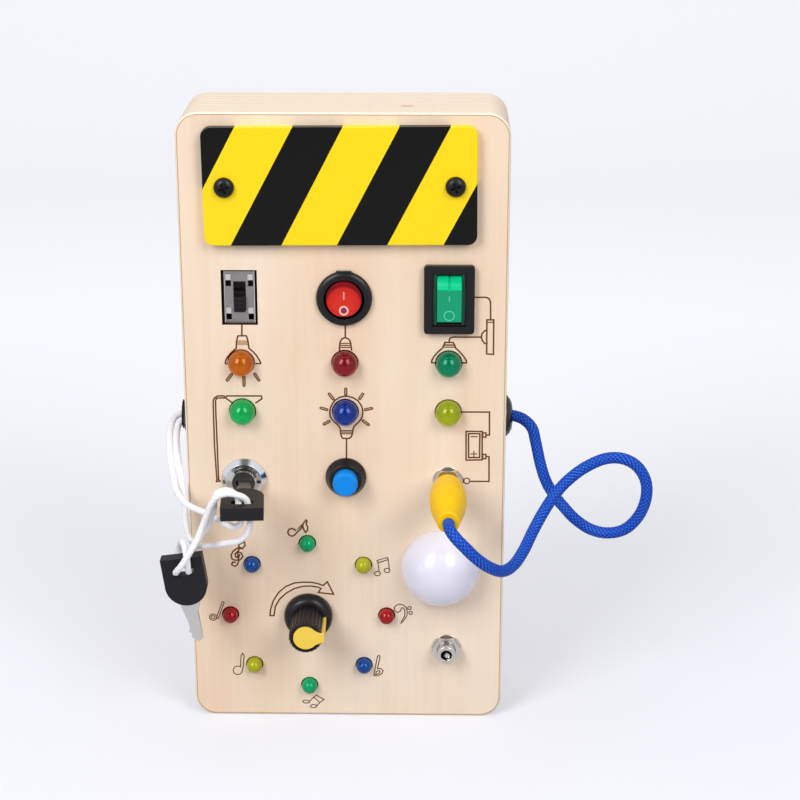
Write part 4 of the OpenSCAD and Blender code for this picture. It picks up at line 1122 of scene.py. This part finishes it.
outer, inner = quarter(DOME_R), quarter(DOME_R - DOME_WALL)
dome_shell = turned("light_dome_opal", outer + inner[::-1] + [outer[0]], on_front(30, 53.6),
                    96, 60)
opal = new_finish("opal_polystyrene", "#E9E6F8", 0.16, (1500, 1, 0.04, 0.05), IOR=1.5,
                  Subsurface_Weight=0.4, Subsurface_Radius=(1, 1, 1), Subsurface_Scale=0.006,
                  Emission_Color="#E8E8FF", Emission_Strength=0.06)
belongs(dome_shell, "board", [opal], ["light_dome"])
kept("dome_led", epoxy["white"])

# ---- dial --------------------------------------------------------------------------
# A skirted, fluted knob of glossy black plastic with a yellow cap whose pointer runs
# down the side. It sits on the nylon shaft of a potentiometer.
DIAL_X, DIAL_Z = -12.5, 36.4
LEG_WIDER, CAP_SMALLER = 1.45, 0.91     # the pointer's leg and cap, against the solid's
dress("dial_knob", "dial_knob_moulding", "dial", black_abs, "black_plastic", 28, 0.08)
cap_yellow = new_finish("moulded_abs_yellow", "#F0CC4C", 0.32, (3000, 1, 0.08, 0.04),
                        Specular_IOR_Level=0.35)
pointer = dressed("dial_pointer", "dial_pointer_cap", 30, 0.12, 2)
# The leg starts just past the cap, and is narrow.
for vertex in pointer.data.vertices:
    right, up = vertex.co.x / MM - DIAL_X, vertex.co.z / MM - DIAL_Z
    if abs(up) < 0.87 and right > 4.9:
        vertex.co.z = (DIAL_Z + up * LEG_WIDER) * MM
    elif right < 4.5:
        vertex.co.x = (DIAL_X + right * CAP_SMALLER) * MM
        vertex.co.z = (DIAL_Z + up * CAP_SMALLER) * MM
belongs(pointer, "dial", [cap_yellow], ["dial_pointer"])
kept("dial_shaft", new_finish("white_nylon", "#E6E4DE", 0.45))
kept("dial_nut", sheet_nickel)
kept("dial_body", sheet_nickel)

# ---- circuit board -----------------------------------------------------------------
# Green glass-fibre board that carries the small lamps, with its chips behind.
kept("circuit_board", new_finish("solder_mask_green", "#1C5A34", 0.35))
kept("board_chips", black_abs)

# ---- cord outlets ------------------------------------------------------------------
# Moulded black rubber grommets pressed into the sides where the cords come out.
rubber = new_finish("black_rubber", "#101012", 0.2, (3000, 2, 0.2, 0.04),
                    Specular_IOR_Level=0.5)
for node in ("right_grommet", "left_grommet"):
    dress(node, node + "_rubber", "board", rubber, "black_rubber", 40, 0.2)

# ---- studio ------------------------------------------------------------------------
# A sweep of pale grey paper under and behind the board, two large softboxes in front, high
# to the left and the right, and a weaker one overhead.
MIRRORED_GLOW = 0.4     # of the paper's glow, what shiny pieces see
paper = new_finish("studio_paper", "#BFC0C6", 0.95, Specular_IOR_Level=0.0,
                   Emission_Color="#FCFCFF")
# The camera sees the paper nearly white, as the photograph does, with its shadows kept.
# Towards the back it gets less of the lamps, which is made up for here.
glow = remap(paper, along_axis(paper, "Object", "Y"), From_Min=0, From_Max=0.42, To_Min=0.37,
             To_Max=0.54)
ray = add_node(paper, "ShaderNodeLightPath")
seen = add_node(paper, "ShaderNodeMath", {0: ray.outputs["Is Glossy Ray"],
                                          2: ray.outputs["Is Camera Ray"]},
                operation="MULTIPLY_ADD")
seen.inputs[1].default_value = MIRRORED_GLOW
add_node(paper, "ShaderNodeMath", {0: seen.outputs[0], 1: glow.outputs[0]},
         (shader_of(paper), "Emission Strength"), operation="MULTIPLY")
profile = [(-1.6, 0)] + [(0.7 + 0.5 * math.sin(a), 0.5 - 0.5 * math.cos(a))
                         for a in np.radians(np.arange(0, 91, 6))] + [(1.2, 2.4)]
n = len(profile)
floor_mesh = bpy.data.meshes.new("studio_sweep")
floor_mesh.from_pydata([(x, y, z) for x in (-2.2, 2.2) for y, z in profile], [],
                       [(i, i + 1, n + i + 1, n + i) for i in range(n - 1)])
floor_mesh.shade_smooth()
floor = new_object("studio_sweep", floor_mesh)
floor.data.materials.append(paper)

world = bpy.data.worlds.new("studio_air")
bpy.context.scene.world = world
world.use_nodes = True
air = world.node_tree.nodes["Background"]
air.inputs["Color"].default_value = linear("#EDF0FA")
# Shiny pieces see white reflectors at both sides of the room, and a darker gap overhead.
sideways = add_node(world, "ShaderNodeMath", {0: along_axis(world, "Generated", "X")},
                    operation="ABSOLUTE")
reflectors = remap(world, sideways.outputs[0], From_Min=0.16, From_Max=0.42, To_Min=0.28,
                   To_Max=1.15)
ray = add_node(world, "ShaderNodeLightPath")
mirrored = add_node(world, "ShaderNodeMapRange", {"Value": ray.outputs["Is Glossy Ray"],
                                                  "To Max": reflectors.outputs[0]}, To_Min=0.2)
# Past the end of the paper the camera sees a plain white wall.
add_node(world, "ShaderNodeMapRange", {"Value": ray.outputs["Is Camera Ray"],
                                       "To Min": mirrored.outputs[0]},
         (air, "Strength"), To_Max=0.98)


def softbox(name, place, aim, size, power):
    light = bpy.data.lights.new(name, "AREA")
    light.shape, light.size, light.size_y, light.energy = "RECTANGLE", *size, power
    lamp = new_object(name, light)
    lamp.location = place
    lamp.rotation_euler = (Vector(aim) - Vector(place)).to_track_quat("-Z", "Y").to_euler()


softbox("left_softbox", (-0.72, -0.95, 0.98), (0, 0, 0.1), (0.6, 0.95), 14.2)
softbox("right_softbox", (0.72, -0.95, 0.98), (0, 0, 0.1), (0.6, 0.95), 11.2)
softbox("top_softbox", (0, 0.15, 1.5), (0, 0.05, 0.1), (1.2, 0.8), 5.5)
